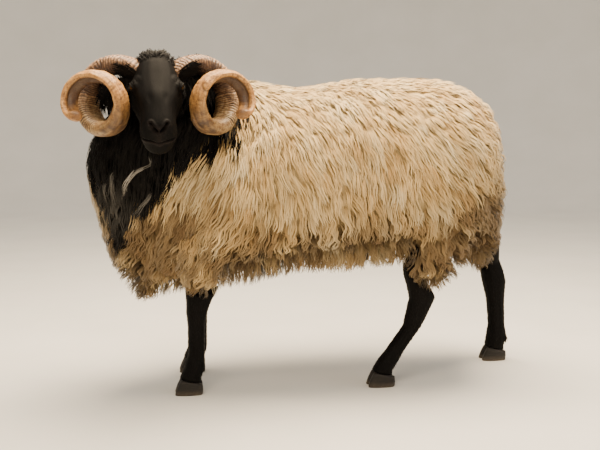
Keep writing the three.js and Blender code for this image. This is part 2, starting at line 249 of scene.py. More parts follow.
def column(name, rows, sides=20):  # rows: centre x, y, z and half size, square to the path
    rows = np.asarray(rows, float)
    rings = []
    for i, (x, y, z, half) in enumerate(rows):
        before, after = rows[max(i - 1, 0), :3], rows[min(i + 1, len(rows) - 1), :3]
        direction = unit(after - before)
        across = unit(np.cross(direction, [0.3, 0.2, 1] if abs(direction[2]) < 0.8 else [1, 0, 0]))
        rings.append(outline((x, y, z), across * half, np.cross(direction, across) * half, sides))
    points, quads, tris = loft(rings)
    return makeMesh(name, toFrame(points), quads, tris)


# materials
# mud brown; the same colour also serves as painted shade low on the fleece
mudAndShadeBrown = "#59452E"


def linear(code):
    channels = [int(code[i:i + 2], 16) / 255 for i in (1, 3, 5)]
    return [c / 12.92 if c <= 0.04045 else ((c + 0.055) / 1.055) ** 2.4 for c in channels] + [1]


def addNode(tree, kind, inputs=None, output=0, stops=(), **settings):
    # inputs: socket name or index, to a number, a hex colour or another node's output; gives back one output
    node = tree.nodes.new("ShaderNode" + kind)
    for key, value in settings.items():
        setattr(node, key, value)
    for key, value in (inputs or {}).items():
        if isinstance(value, bpy.types.NodeSocket):
            tree.links.new(value, node.inputs[key])
        else:
            node.inputs[key].default_value = linear(value) if isinstance(value, str) else value
    for index, (position, code) in enumerate(stops):
        if index > 1:
            node.color_ramp.elements.new(position)
        stop = node.color_ramp.elements[index]
        stop.position = position
        stop.color = linear(code) if isinstance(code, str) else [code, code, code, 1]
    return node.outputs[output]


def newMaterial(name, **surface):  # gives back what adds a node, and what links the colour and the relief
    material = bpy.data.materials.new(name)
    material.use_nodes = True
    tree = material.node_tree
    shader = tree.nodes["Principled BSDF"]
    for key, value in surface.items():
        shader.inputs[key.replace("_", " ")].default_value = value

    def finish(colour, relief=None):
        tree.links.new(colour, shader.inputs["Base Color"])
        if relief:
            tree.links.new(relief, shader.inputs["Normal"])
        return material

    return partial(addNode, tree), finish


def fibres(add, wide, long):  # noise drawn out along a lock: how many across it and along it
    tone, across, along = (
        add("Attribute", output="Fac", attribute_name=name) for name in ("tone", "across", "along"))
    own = add("Math", {0: tone, 1: 97.0}, operation="MULTIPLY")  # each lock its own noise
    place = add("CombineXYZ", {"X": across, "Y": along, "Z": own})
    drawn = add("VectorMath", {0: place, 1: (wide, long, 1.0)}, operation="MULTIPLY")
    return add("TexNoise", {"Vector": drawn, "Scale": 1.0, "Detail": 2.0}, "Fac"), tone, along


def woolMaterial():
    # Raw wool, grown and never washed. Matt crimped fibres, cream with grease in their depths and paler at
    # the weathered tips, brown where mud and dung have dried in, and browner still with painted shade low on
    # the sides, along the hem and on the thighs.
    add, finish = newMaterial("raw fleece wool", Roughness=0.85, IOR=1.55, Specular_IOR_Level=0.12,
                              Sheen_Weight=0.35, Sheen_Roughness=0.5)
    strand, tone, along = fibres(add, 7.0, 4.0)  # bundles about 1 mm wide; one fibre is too fine to show
    body = add("ValToRGB", {0: along}, stops=[
        (0.0, "#DDBE8A"), (0.25, "#EBD09C"), (0.7, "#F8E2B4"), (1.0, "#FBEAC6")])
    yolk = add("ValToRGB", {0: tone}, stops=[(0.12, "#FFFFFF"), (0.5, "#F9EBCF"), (0.88, "#D0B283")])
    tinted = add("Mix", {0: 0.85, 6: body, 7: yolk}, 2, data_type="RGBA", blend_type="MULTIPLY")
    streak = add("ValToRGB", {0: strand}, stops=[(0.36, 0.76), (0.58, 1.0)])
    streaked = add("Mix", {0: 0.75, 6: tinted, 7: streak}, 2, data_type="RGBA", blend_type="MULTIPLY")
    dirt = add("Attribute", output="Fac", attribute_name="dirt")
    # browned by mud and by painted shade, as far as the dirt number says
    soiledAndShaded = add("Mix", {0: dirt, 6: streaked, 7: mudAndShadeBrown}, 2, data_type="RGBA")
    return finish(soiledAndShaded, add("Bump", {"Height": strand, "Strength": 0.7, "Distance": 0.0006}))


def blackHairMaterial():
    # Kemp and long hair, black pigment all through. Smooth fibres, with only a faint shine along them.
    add, finish = newMaterial("black kemp hair", Roughness=0.5, IOR=1.55, Specular_IOR_Level=0.08)
    strand, tone, along = fibres(add, 4.0, 5.0)
    body = add("ValToRGB", {0: tone}, stops=[(0.0, "#050505"), (0.6, "#0A0909"), (1.0, "#131110")])
    worn = add("Math", {0: along, 1: 0.2}, operation="MULTIPLY")
    weathered = add("Mix", {0: worn, 6: body, 7: "#221C18"}, 2, data_type="RGBA")
    streak = add("ValToRGB", {0: strand}, stops=[(0.35, 0.5), (0.65, 1.0)])
    streaked = add("Mix", {0: 0.6, 6: weathered, 7: streak}, 2, data_type="RGBA", blend_type="MULTIPLY")
    pale = add("Attribute", output="Fac", attribute_name="pale")
    grey = add("Mix", {0: pale, 6: streaked, 7: "#A9A49B"}, 2, data_type="RGBA")
    return finish(grey, add("Bump", {"Height": strand, "Strength": 0.4, "Distance": 0.0004}))


def skinMaterial():
    # Hide under its hair. Short black hair lies flat on face, ears and legs, so those show a fine combed nap;
    # under the fleece it is the felted base of the wool, cream and dull, with the same dried mud and painted
    # shade in it.
    add, finish = newMaterial("haired hide", Roughness=0.6, IOR=1.5, Specular_IOR_Level=0.06)
    nap, napAlong, napUp, nakedness, dark, dirt = (
        add("Attribute", output="Fac", attribute_name=name)
        for name in ("napAcross", "napAlong", "napUp", "bare", "dark", "dirt"))
    grain = add("CombineXYZ", {0: nap, 1: napAlong, 2: napUp})
    # hairs 0.1 mm thick are drawn as tufts 1 mm wide and 8 mm long
    combed = add("TexNoise", {"Vector": grain, "Scale": 1.0, "Detail": 3.0, "Roughness": 0.6}, "Fac")
    coords = add("TexCoord", output="Object")
    cloud = add("TexNoise", {"Vector": coords, "Scale": 28.0, "Detail": 3.0}, "Fac")
    black = add("ValToRGB", {0: combed}, stops=[(0.3, "#050505"), (0.55, "#0A0909"), (0.8, "#141211")])
    bare = add("ValToRGB", {0: cloud}, stops=[(0.3, "#141110"), (0.7, "#221D1C")])  # nose and lip rims
    hide = add("Mix", {0: nakedness, 6: black, 7: bare}, 2, data_type="RGBA")
    felt = add("ValToRGB", {0: cloud}, stops=[(0.25, "#CDAE7A"), (0.6, "#E0C490"), (0.8, "#EBD2A0")])
    matted = add("ValToRGB", {0: combed}, stops=[(0.38, 0.72), (0.6, 1.0)])
    wool = add("Mix", {0: 0.8, 6: felt, 7: matted}, 2, data_type="RGBA", blend_type="MULTIPLY")
    # browned by mud and by painted shade, as far as the dirt number says
    soiledAndShaded = add("Mix", {0: dirt, 6: wool, 7: mudAndShadeBrown}, 2, data_type="RGBA")
    colour = add("Mix", {0: dark, 6: soiledAndShaded, 7: hide}, 2, data_type="RGBA")
    pores = add("TexVoronoi", {"Vector": coords, "Scale": 620.0}, "Distance")
    pitted = add("Math", {0: pores, 1: nakedness}, operation="MULTIPLY")
    height = add("Math", {0: combed, 1: pitted}, operation="ADD")
    return finish(colour, add("Bump", {"Height": height, "Strength": 0.55, "Distance": 0.0009}))


def hornMaterial():
    # Keratin horn laid down in yearly rings and rubbed on posts. Waxy and half clear, tan on the worn crests,
    # with brown-black painted shade in the grooves, on the inside of the coil and on its lower side.
    add, finish = newMaterial("grown keratin horn", Roughness=0.5, IOR=1.55, Specular_IOR_Level=0.35,
                              Coat_Weight=0.06, Coat_Roughness=0.35)
    part, groove, shade, aroundA, aroundB = (
        add("Attribute", output="Fac", attribute_name=name)
        for name in ("part", "groove", "shade", "aroundA", "aroundB"))
    base = add("ValToRGB", {0: part}, stops=[
        (0.0, "#E8C09C"), (0.2, "#E4BC92"), (0.34, "#CBB488"), (0.46, "#B99862"), (0.6, "#D2A05E"),
        (0.8, "#E2B06A"), (0.95, "#CF9C5A"), (1.0, "#8E6A42")])
    place = add("CombineXYZ", {0: part, 1: aroundA, 2: aroundB})
    drawn = add("VectorMath", {0: place, 1: (22.0, 4.2, 4.2)}, operation="MULTIPLY")
    # streaks about 8 mm wide and 30 mm long
    streak = add("TexNoise", {"Vector": drawn, "Scale": 1.0, "Detail": 4.0, "Roughness": 0.65}, "Fac")
    coords = add("TexCoord", output="Object")
    mottle = add("TexNoise", {"Vector": coords, "Scale": 130.0, "Detail": 5.0, "Roughness": 0.7}, "Fac")
    wornTint = add("ValToRGB", {0: streak}, stops=[(0.32, "#7E5A3C"), (0.48, "#D2B184"), (0.62, "#FFFFFF")])
    streaked = add("Mix", {0: 0.6, 6: base, 7: wornTint}, 2, data_type="RGBA", blend_type="MULTIPLY")
    blotch = add("ValToRGB", {0: mottle}, stops=[(0.5, 0.0), (0.62, 0.85)])
    mottled = add("Mix", {0: blotch, 6: streaked, 7: "#6A4628"}, 2, data_type="RGBA")
    # painted shade: the grooves darkened to brown-black, then the coil's inside and lower side to dark brown
    grooved = add("Mix", {0: groove, 6: mottled, 7: "#2E201A"}, 2, data_type="RGBA")
    shaded = add("Mix", {0: shade, 6: grooved, 7: "#3A281F"}, 2, data_type="RGBA")
    height = add("Math", {0: streak, 1: mottle}, operation="ADD")
    return finish(shaded, add("Bump", {"Height": height, "Strength": 0.4, "Distance": 0.0008}))


def hoofMaterial():
    # Hoof horn, grown down in rings and scuffed on concrete. Dull near-black, grey dust at the ground edge.
    add, finish = newMaterial("scuffed hoof horn", Roughness=0.6, IOR=1.55, Specular_IOR_Level=0.3)
    coords = add("TexCoord", output="Object")
    stretched = add("Mapping", {"Vector": coords, "Scale": (60, 60, 420)})  # rings 2 mm apart
    rings = add("TexNoise", {"Vector": stretched, "Scale": 1.0, "Detail": 3.0}, "Fac")
    scuff = add("TexNoise", {"Vector": coords, "Scale": 190.0, "Detail": 4.0}, "Fac")
    body = add("ValToRGB", {0: rings}, stops=[(0.3, "#0F0C0B"), (0.6, "#1C1815"), (0.8, "#2A2420")])
    height = add("SeparateXYZ", {0: coords}, "Z")
    level = add("Math", {0: height, 1: 30.0}, operation="MULTIPLY")
    low = add("ValToRGB", {0: level}, stops=[(0.0, 0.5), (0.45, 0.0)])  # dust up to 15 mm
    dust = add("Math", {0: low, 1: scuff}, operation="MULTIPLY")
    dusty = add("Mix", {0: dust, 6: body, 7: "#8A7A66"}, 2, data_type="RGBA")
    relief = add("Math", {0: rings, 1: scuff}, operation="ADD")
    return finish(dusty, add("Bump", {"Height": relief, "Strength": 0.4, "Distance": 0.0006}))


def eyeMaterial():
    # A living eye: wet cornea over a brown-amber iris with radial threads, and the sheep's level slit pupil.
    add, finish = newMaterial("wet amber eye", Roughness=0.12, IOR=1.38, Specular_IOR_Level=0.3,
                              Coat_Weight=0.15, Coat_Roughness=0.05)
    a, b = (  # mm from the pupil's middle
        add("Attribute", output="Fac", attribute_name=name) for name in ("gazeAlong", "gazeUp"))
    spot = add("CombineXYZ", {0: a, 1: b})
    radius = add("VectorMath", {0: spot}, "Value", operation="LENGTH")
    angle = add("Math", {0: b, 1: a}, operation="ARCTAN2")
    place = add("CombineXYZ", {0: angle, 1: radius})
    drawn = add("VectorMath", {0: place, 1: (9.0, 0.35, 1.0)}, operation="MULTIPLY")
    threads = add("TexNoise", {"Vector": drawn, "Scale": 1.0, "Detail": 3.0}, "Fac")
    iris = add("ValToRGB", {0: threads}, stops=[(0.3, "#140C05"), (0.5, "#33200D"), (0.72, "#553816")])
    outward = add("Math", {0: radius, 1: 10.5}, operation="DIVIDE")
    rim = add("ValToRGB", {0: outward}, stops=[(0.78, 0.0), (0.92, 1.0)])
    edged = add("Mix", {0: rim, 6: iris, 7: "#120C09"}, 2, data_type="RGBA")
    squeezed = add("VectorMath", {0: spot, 1: (6.2, 2.6, 1.0)}, operation="DIVIDE")
    slit = add("VectorMath", {0: squeezed}, "Value", operation="LENGTH")
    pupil = add("ValToRGB", {0: slit}, stops=[(0.88, 1.0), (1.0, 0.0)])
    return finish(add("Mix", {0: pupil, 6: edged, 7: "#050405"}, 2, data_type="RGBA"))


wool, blackHair, hide = woolMaterial(), blackHairMaterial(), skinMaterial()
horn, hoof, eyeGloss = hornMaterial(), hoofMaterial(), eyeMaterial()
print("materials made")

# Markings: black head, bib and legs on a cream fleece.
# The neck's axis by height: z, x, y. The bib's edges by height: z, and the angles of its far and near edge in
# degrees about that axis, from the left side towards the tail. How far out from the axis it reaches: z, mm.
neckAxis = np.array([
    (232, -112, 0), (325, -90, -4), (400, -74, -10), (480, -62, -10), (570, -56, -22),
    (635, -52, -44), (690, -44, -66), (750, -30, -88), (805, -14, -98), (866, 42, -62)], float)
bibEdges = np.array([
    (350, -59, -55), (368, -60, -52), (393, -61, -45), (417, -63, -41), (434, -66, -38), (455, -68, -31),
    (489, -70, -19), (518, -75, -9), (543, -80, 1), (576, -84, 11), (608, -92, 22), (624, -99, 33),
    (640, -107, 48), (670, -124, 60), (700, -146, 72), (728, -172, 86), (752, -212, 114), (780, -218, 170),
    (880, -220, 215)], float)
bibReach = np.array([(500, 400), (610, 300), (656, 212), (700, 187), (760, 175), (880, 172)], float)
bib = {
    "ragged": [(7, 34.0, 3.0), (4, 12.0, 8.0)],  # the edge's two noises: depth in degrees, size in mm, seed
    # heights between which that changes, and how much of it is left on one side
    "neat": (400, 520, 0.5), "underHorn": (610, 680, 0.4),
    "softEdge": 7, "softReach": 14, "reachRagged": 1.6, "end": (332, 352),
}
# How much mud each part of the fleece holds, together with painted shade: "hem" is part mud and part painted
# shade, "thigh" and "lowSide" are painted shade that darkens the thighs and the lower sides.
soilAndShade = {
    "rump": 0.9, "tail": 0.6, "hem": 1.1, "thigh": 0.25, "breast": 0.6, "clouds": 0.24, "lowSide": 0.14,
    "everywhere": 0.02, "most": 0.9,
}


def neckAngle(rows):
    x = rows[:, 0] - np.interp(rows[:, 2], neckAxis[:, 0], neckAxis[:, 1])
    y = rows[:, 1] - np.interp(rows[:, 2], neckAxis[:, 0], neckAxis[:, 2])
    angle = np.degrees(np.arctan2(x, -y))
    return np.where(angle > 150 + ease(rows[:, 2], 700, 800) * 60, angle - 360, angle), np.hypot(x, y)


def blackness(rows):  # 1 inside the bib and the mane, 0 on the fleece
    angle, reach = neckAngle(rows)
    z = rows[:, 2]
    low, high, neat = bib["neat"]
    ragged = sum(depth * wander(rows, size, seed) for depth, size, seed in bib["ragged"])
    ragged = ragged * mix(neat, 1.0, ease(z, low, high))
    low, high, neat = bib["underHorn"]
    ragged = ragged * mix(1.0, neat, ease(z, low, high))
    far, near = (np.interp(z, bibEdges[:, 0], bibEdges[:, k]) for k in (1, 2))
    soft, softReach = bib["softEdge"], bib["softReach"]
    inside = np.minimum(ease(angle - far + ragged, -soft, soft), ease(near - angle + ragged, -soft, soft))
    room = np.interp(z, bibReach[:, 0], bibReach[:, 1]) + bib["reachRagged"] * ragged - reach
    return np.minimum(inside, ease(room, -softReach, softReach)) * ease(z, *bib["end"])


def soilingAndShade(rows):  # how much mud and dung has dried into the wool, with painted shade added along the hem, on the thighs and lower down the sides, 0 to 1
    x, z = rows[:, 0], rows[:, 2]
    rump = ease(x, 600, 780) * ease(z, 640, 480) * soilAndShade["rump"]
    rump = rump + soilAndShade["tail"] * bell(np.hypot(x - 880, z - 660), 75)
    # mud and painted shade along the hem, painted shade low on the thighs
    hem = ease(z, 530, 320) * soilAndShade["hem"] + ease(x, 560, 700) * ease(z, 500, 330) * soilAndShade["thigh"]
    breast = soilAndShade["breast"] * bell(away(rows, (-75, -120, 415)), 95)
    patches = 0.62 + 0.75 * wander(rows, 55.0, 5.0)
    clouds = soilAndShade["clouds"] * ease(wander(rows, 130.0, 12.0), -0.1, 0.5) * ease(z, 740, 560)
    # painted shade: steadily darker further down the sides
    clouds = clouds + soilAndShade["lowSide"] * ease(z, 720, 440)
    return np.clip((rump + hem + breast) * patches + clouds + soilAndShade["everywhere"], 0, soilAndShade["most"])


# Skin: how deep it lies under the coat's tips, in mm, on the back, the sides and under the belly, and how
# large the voxels are that both shapes are made anew from.
coatDepth = {"back": 13, "side": 18, "belly": 72, "voxel": 11, "skinVoxel": 9, "passes": 10}

outer = remeshed("outer", [nodes[n].data for n in ("trunk", "neck", "tail")], coatDepth["voxel"])
outerEdges = edgesOf(outer.data)
outerPoints = relax(pointsOf(outer.data), outerEdges, 0.5, 2)
setPoints(outer.data, outerPoints)
outerNormals = normalsOf(outer.data)
under = ease(-outerNormals[:, 2], 0.0, 0.75)
top = ease(outerNormals[:, 2], 0.2, 0.8)
depth = mix(mix(coatDepth["side"], coatDepth["back"], top), coatDepth["belly"], under) / 1000
innerPoints = outerPoints.copy()
for _ in range(coatDepth["passes"]):
    setPoints(outer.data, innerPoints)
    innerPoints = innerPoints - normalsOf(outer.data) * depth[:, None] / coatDepth["passes"]
    innerPoints = relax(innerPoints, outerEdges, 0.4, 2)
setPoints(outer.data, innerPoints)
print("coat depth taken off:", len(innerPoints), "points")

outerRows, innerRows = toRows(outerPoints), toRows(innerPoints)
outerQuads = cornersOf(outer.data).reshape(-1, 4)
outerFaceNormals = unit(outerNormals[outerQuads].mean(1))
outerTree = BVHTree.FromPolygons(outerRows.tolist(), outerQuads.tolist())

# limbs and neck run on inside the wool: centre x, y, z and half size
limbs = {
    "foreleg_left": [(36, -101, 225, 22), (40, -99, 290, 33), (56, -84, 380, 48), (84, -60, 500, 62)],
    "foreleg_right": [(49, 101, 225, 22), (53, 99, 290, 33), (66, 84, 380, 48), (90, 60, 500, 62)],
    "hindleg_left": [(617, -107, 258, 20), (604, -110, 295, 31), (607, -109, 332, 36), (634, -104, 372, 46),
                     (700, -80, 480, 72)],
    "hindleg_right": [(890, 109, 258, 20), (882, 110, 300, 32), (874, 108, 338, 38), (858, 105, 390, 40),
                      (818, 96, 445, 50), (760, 82, 490, 72)],
}
throat = [(90, 0, 640, 92), (10, -40, 690, 84), (-40, -104, 726, 70), (-60, -160, 752, 56),
          (-62, -200, 764, 44)]
core = [column(name, rows) for name, rows in limbs.items()] + [column("throat", throat)]
skin = remeshed("skin", [outer.data] + core, coatDepth["skinVoxel"])
setPoints(skin.data, relax(pointsOf(skin.data), edgesOf(skin.data), 0.5, 3))

# the face, all in the head's own millimetres: along, side, up
face = {
    "eye": (0, 50, 14), "eyeRadius": 13.5, "hang": 8,
    "nostrilFrom": (130, 6.0, -25), "nostrilTo": (121, 19, -11),
    "nostrilWidth": 3.4, "nostrilDepth": 11, "nostrilWay": (-0.86, -0.25, -0.3),
    "mouthUp": -57, "mouthFront": 128, "mouthCorner": 74, "mouthWidth": 2.2, "mouthDepth": 5.5,
    "lips": [(1.2, 5.0, 3.2), (0.9, -4.6, 3.0)],  # height, how far above the mouth, width
    "lumps": [  # height, where, how far it is drawn out each way, width
        (4.0, (-22, 56, -48), (1.2, 1, 1), 30),    # jaw muscle
        (-3.0, (48, 46, -22), (1.6, 1, 1), 20),    # hollow of the cheek
        (2.5, (36, 38, 16), (2.2, 1, 1), 13),      # bone below the eye
        (2.0, (70, 0, 28), (2.6, 1, 1), 14),       # bridge of the nose
        (-1.6, (66, 19, 24), (3.0, 1, 1), 7),      # beside the bridge
        (2.4, (116, 27, -42), (1.2, 1, 1), 13),    # upper lip
        (3.0, (112, 8, -84), (1.2, 1.4, 1), 13),   # chin
        (-2.2, (24, 50, 2), (1.5, 1, 0.45), 9),    # tear groove
    ],
}
# "radius": of the ball the lids lie on. "opening": half its length and height. "edges": what its inner and
# outer side are gathered to. "rim": its height below and above. "fold": the crease's height, place and width.
lids = {
    "radius": 15.0, "opening": (10.6, 4.8), "raised": 0.8, "above": 1.15, "below": 0.85, "power": 2.2,
    "gather": 0.22, "edges": (0.93, 1.04), "rim": (1.3, 2.1), "fold": (-1.8, 17.5, 2.4), "dome": 13,
    "slope": 0.95, "behind": 3.0,
}
gaze = unit([0.36, 0.9, 0.22])  # the eye looks out and a little forward and up
bothSides = (("left", 1), ("right", -1))


def folded(q):  # both halves of the head laid on its left one
    return np.stack([q[:, 0], np.abs(q[:, 1]), q[:, 2]], 1)


def nearEye(rows, reach=20):
    return away(folded(toHead(rows)), face["eye"]) < reach


def nearFace(rows):
    q = toHead(rows)
    return (q[:, 0] > 84) & (q[:, 2] > -80) | nearEye(rows, 30)


def refine(mesh, chosen):  # cuts the faces that chosen(points in rows) picks into four
    work = bmesh.new()
    work.from_mesh(mesh)
    work.verts.ensure_lookup_table()
    keep = chosen(toRows(np.array([v.co for v in work.verts])))
    edges = [e for e in work.edges if keep[e.verts[0].index] and keep[e.verts[1].index]]
    bmesh.ops.subdivide_edges(work, edges=edges, cuts=1, use_grid_fill=True)
    work.to_mesh(mesh)
    work.free()


def segmentDistance(points, start, end):
    start, end = np.asarray(start, float), np.asarray(end, float)
    t = np.clip((points - start) @ (end - start) / ((end - start) @ (end - start)), 0, 1)
    return np.linalg.norm(points - start - t[:, None] * (end - start), axis=1), t


def sculptMuzzle(m, n):  # points and normals of the folded head
    m[:, 2] -= face["hang"] * ease(m[:, 0], 45, 112)
    push = np.zeros(len(m))
    for height, spot, drawnOut, width in face["lumps"]:
        push += height * bell(away((m - spot) / drawnOut, 0), width)
    # philtrum, from between the nostrils to the lip
    split, _ = segmentDistance(m, (132, 0, -28), (126, 0, face["mouthUp"]))
    push -= 2.6 * bell(split, 2.2)
    push += 1.2 * bell(split - 6, 3)
    # nostrils: slits that run up and out, with a raised wing
    slit, t = segmentDistance(m, face["nostrilFrom"], face["nostrilTo"])
    width = face["nostrilWidth"] * (1.15 - 0.45 * t)
    push += 2.2 * bell(slit - 7.0, 3.0)
    move = n * push[:, None]
    move += bell(slit, width)[:, None] * face["nostrilDepth"] * unit(face["nostrilWay"])
    # mouth: a line low round the muzzle, rising a little to its corners
    back = ease(m[:, 0], face["mouthFront"], face["mouthCorner"])
    line = face["mouthUp"] + 0.34 * np.minimum(m[:, 1], 24) + 4 * back
    reach = ease(m[:, 0], face["mouthCorner"] - 4, face["mouthCorner"] + 8)
    above = m[:, 2] - line
    move -= n * (bell(above, face["mouthWidth"]) * face["mouthDepth"] * reach)[:, None]
    for height, up, width in face["lips"]:
        move += n * (bell(above - up, width) * height * reach)[:, None]
    return m + move


def drawLids(m):  # the skin is drawn over the eyeball round an almond opening, and dips behind it inside
    centre = np.array(face["eye"], float)
    d = m - centre
    forwardAxis = unit(np.array([1, 0, 0]) - gaze * gaze[0])
    upAxis = np.cross(gaze, forwardAxis)
    upAxis = upAxis * np.sign(upAxis[2])
    a, b, g = d @ forwardAxis, d @ upAxis, d @ gaze
    wide, tall = lids["opening"]
    raised, power = lids["raised"], lids["power"]
    tallHere = tall * np.where(b > raised, lids["above"], lids["below"])
    almond = ((np.abs(a) / wide) ** power + (np.abs(b - raised) / tallHere) ** power) ** (1 / power)
    beside = np.clip(1 - np.abs(almond - 1) / lids["gather"], 0, 1) * ease(g, -14, -8)
    edge = mix(almond, np.where(almond < 1, *lids["edges"]), beside)  # points gather along the lid's edge
    a, b = a * edge / almond, raised + (b - raised) * edge / almond
    around = np.hypot(a, b)
    rim = mix(*lids["rim"], ease(b, -2, 3)) * bell(edge - 1.12, 0.2)  # thick lid edges
    foldDepth, foldAt, foldWidth = lids["fold"]
    fold = foldDepth * bell(around - foldAt, foldWidth) * ease(b, 0, 8)  # crease over the upper lid
    dome = np.sqrt(lids["radius"] ** 2 - np.minimum(around, lids["dome"]) ** 2)
    cover = dome - lids["slope"] * np.maximum(around - lids["dome"], 0) + rim + fold
    lidded = mix(cover, lids["behind"], ease(edge, 1.03, 0.95))
    skirt = 0.5 * (g + cover + np.sqrt((g - cover) ** 2 + 4))
    wanted = mix(skirt, lidded, ease(around, 16, 12))
    near = ease(around, 30, 26) * ease(g, -18, -12)
    place = centre + a[:, None] * forwardAxis + b[:, None] * upAxis + wanted[:, None] * gaze
    return mix(m, place, near[:, None])


def sculptHead(rows, normals):
    q = toHead(rows)
    sign = np.where(q[:, 1] < 0, -1.0, 1.0)
    n = normals @ headAxes.T
    n[:, 1] *= sign
    m = drawLids(sculptMuzzle(folded(q), n))
    m[:, 1] *= sign
    return headOrigin + m @ headAxes


skull = remeshed("skull", [nodes["head"].data], 2.9)
setPoints(skull.data, relax(pointsOf(skull.data), edgesOf(skull.data), 0.5, 7))
refine(skull.data, nearFace)
refine(skull.data, nearEye)
skullEdges = edgesOf(skull.data)
skullPoints = relax(pointsOf(skull.data), skullEdges, 0.5, 2)
setPoints(skull.data, skullPoints)
sculpted = sculptHead(toRows(skullPoints), normalsOf(skull.data))
atEye = nearEye(toRows(skullPoints))
setPoints(skull.data, relax(toFrame(sculpted), skullEdges, 0.35, 1, np.where(atEye, 0.25, 1.0)))
print("head sculpted:", len(skullPoints), "points")

earShape = {"root": (-40, 47, 6), "length": 108, "cupWidth": 13, "cupDepth": 4.5, "sunk": 6, "voxel": 1.8}


def earAim(sign):  # out, a little back and down
    return unit(headSide * sign * 0.84 - headForward * 0.4 - np.array([0, 0, 0.3]))


def smoothCopy(name, node, voxel):
    piece = remeshed(name, [nodes[node].data], voxel)
    points = relax(pointsOf(piece.data), edgesOf(piece.data), 0.5, 4)
    setPoints(piece.data, points)
    return piece, toRows(points), normalsOf(piece.data)


ears = []
for word, sign in bothSides:
    ear, rows, normals = smoothCopy("ear" + word, "ear_" + word, earShape["voxel"])
    along, side, up = earShape["root"]
    base = fromHead(along, sign * side, up)
    aim = earAim(sign)
    part = (rows - base) @ aim / earShape["length"]
    wide = unit(np.cross(aim, headForward))
    cup = bell((rows - base) @ wide, earShape["cupWidth"]) * ease(part, 0.12, 0.35) * ease(part, 1.0, 0.7)
    facing = ease(normals @ headForward, 0.1, 0.6)
    rows = rows - headForward * (cup * facing * earShape["cupDepth"])[:, None]
    rows = rows - aim * (earShape["sunk"] * ease(part, 0.3, 0))[:, None]
    setPoints(ear.data, toFrame(rows))
    ears.append(ear)

# a groove each side in front of the tendon, and the hollow above the heel; "middle": the bone's z and x
legShape = {
    "voxel": 3.4, "grooveWidth": 4.5, "grooveDepth": 2.2, "hair": 0.8, "shank": (130, 42),
    "tendon": ([40, 105, 180], [0, 5, 6]),
    "middle": {
        "foreleg_left": ([40, 105, 240], [8, 24, 31]), "foreleg_right": ([40, 105, 240], [21, 37, 44]),
        "hindleg_left": ([43, 95, 160, 236], [516, 550, 596, 622]),
        "hindleg_right": ([43, 105, 240], [903, 908, 896]),
    },
}
legs = []
for name in limbs:
    leg, rows, normals = smoothCopy("shape " + name, name, legShape["voxel"])
    middleOfShank, shankLength = legShape["shank"]
    shank = bell(rows[:, 2] - middleOfShank, shankLength)
    behind = np.interp(rows[:, 2], *legShape["tendon"])
    middle = np.interp(rows[:, 2], *legShape["middle"][name])
    groove = bell(rows[:, 0] - middle - behind, legShape["grooveWidth"]) * shank * legShape["grooveDepth"]
    setPoints(leg.data, toFrame(rows - normals * groove[:, None] - normals * legShape["hair"]))
    legs.append(leg)

for part in [skull] + ears + legs:
    modifier = skin.modifiers.new("join", "BOOLEAN")
    modifier.operation, modifier.solver, modifier.object = "UNION", "MANIFOLD", part
graph = bpy.context.evaluated_depsgraph_get()
whole = bpy.data.meshes.new_from_object(skin.evaluated_get(graph))
skin.modifiers.clear()
skin.data = whole
print("skin:", len(whole.vertices), "points,", len(whole.polygons), "faces")

# horns
hornShape = {
    "start": -58, "end": 526, "slowStart": 1.15, "steps": 560, "sides": 44, "square": 2.3,
    # the coil's middle: where it begins beside the head, and how far it has moved at the tip, in mm
    "outLeft": 97, "outRight": 86, "back": 63, "down": 12, "cone": 38,
    "lateral": 87, "forward": 122, "drop": 8,
    # winding angle in degrees, coil radius, half thickness towards the coil's middle, half breadth, in mm
    "rows": [(-58, 81, 15, 18), (-38, 81, 23, 31), (-10, 81, 25, 36), (60, 81, 25, 38), (150, 74, 21, 36),
             (240, 60, 17.5, 25.5), (330, 55, 16.5, 24.5), (420, 53, 16, 24), (480, 44, 15.5, 22),
             (510, 37, 14, 19), (521, 34, 10, 13), (526, 33, 5, 6)],
    "ringSpacing": 7.0, "yearSpacing": 88, "yearDepth": 1.6, "yearWidth": 2.6,
    "hollow": 12.5,  # how far the front coil's inner face is dished, in mm
    "shaved": 0.7,   # kept inside the plain horn by this much, in mm
    # by winding angle; the last three rows are how strongly painted shade darkens the grooves, the coil's
    # inner side and its dished inner face
    "ringHeight": [(-58, 2.6), (60, 2.4), (150, 2.6), (172, 0.7), (220, 0.4), (300, 0.5), (526, 0.2)],
    "knobHeight": [(-38, 0.9), (150, 0.6), (230, 2.1), (340, 1.9), (430, 0.6)],
    "grooveShade": [(-58, 0.95), (60, 0.85), (150, 1.0), (175, 0.35), (300, 0.25), (526, 0.2)],
    "innerShade": [(-58, 0.5), (60, 0.5), (180, 0.3), (250, 0.6), (330, 0.95), (400, 0.9), (440, 0.55),
                  (480, 0.3), (526, 0.3)],
    "hollowShade": [(220, 0.7), (290, 1.3), (350, 1.9), (400, 1.5), (450, 0.6), (500, 0.2)],
}


def hornPath(angle, sign):
    s = hornShape
    outward = headSide * sign
    cone = math.radians(s["cone"])
    radialSide = outward * math.cos(cone) - headForward * math.sin(cone)
    part = angle[:, None] / s["end"]
    out = s["outLeft"] if sign > 0 else s["outRight"]
    centre = (headOrigin + outward * (out + s["lateral"] * part)
              + headForward * (s["forward"] * part - s["back"]) - headCrown * (s["down"] + s["drop"] * part))
    turn = np.radians(angle)[:, None]
    radial = headCrown * np.cos(turn) + radialSide * np.sin(turn)
    rows = np.array(s["rows"], float)
    radius = np.interp(angle, rows[:, 0], rows[:, 1])
    return centre + radial * radius[:, None], radial


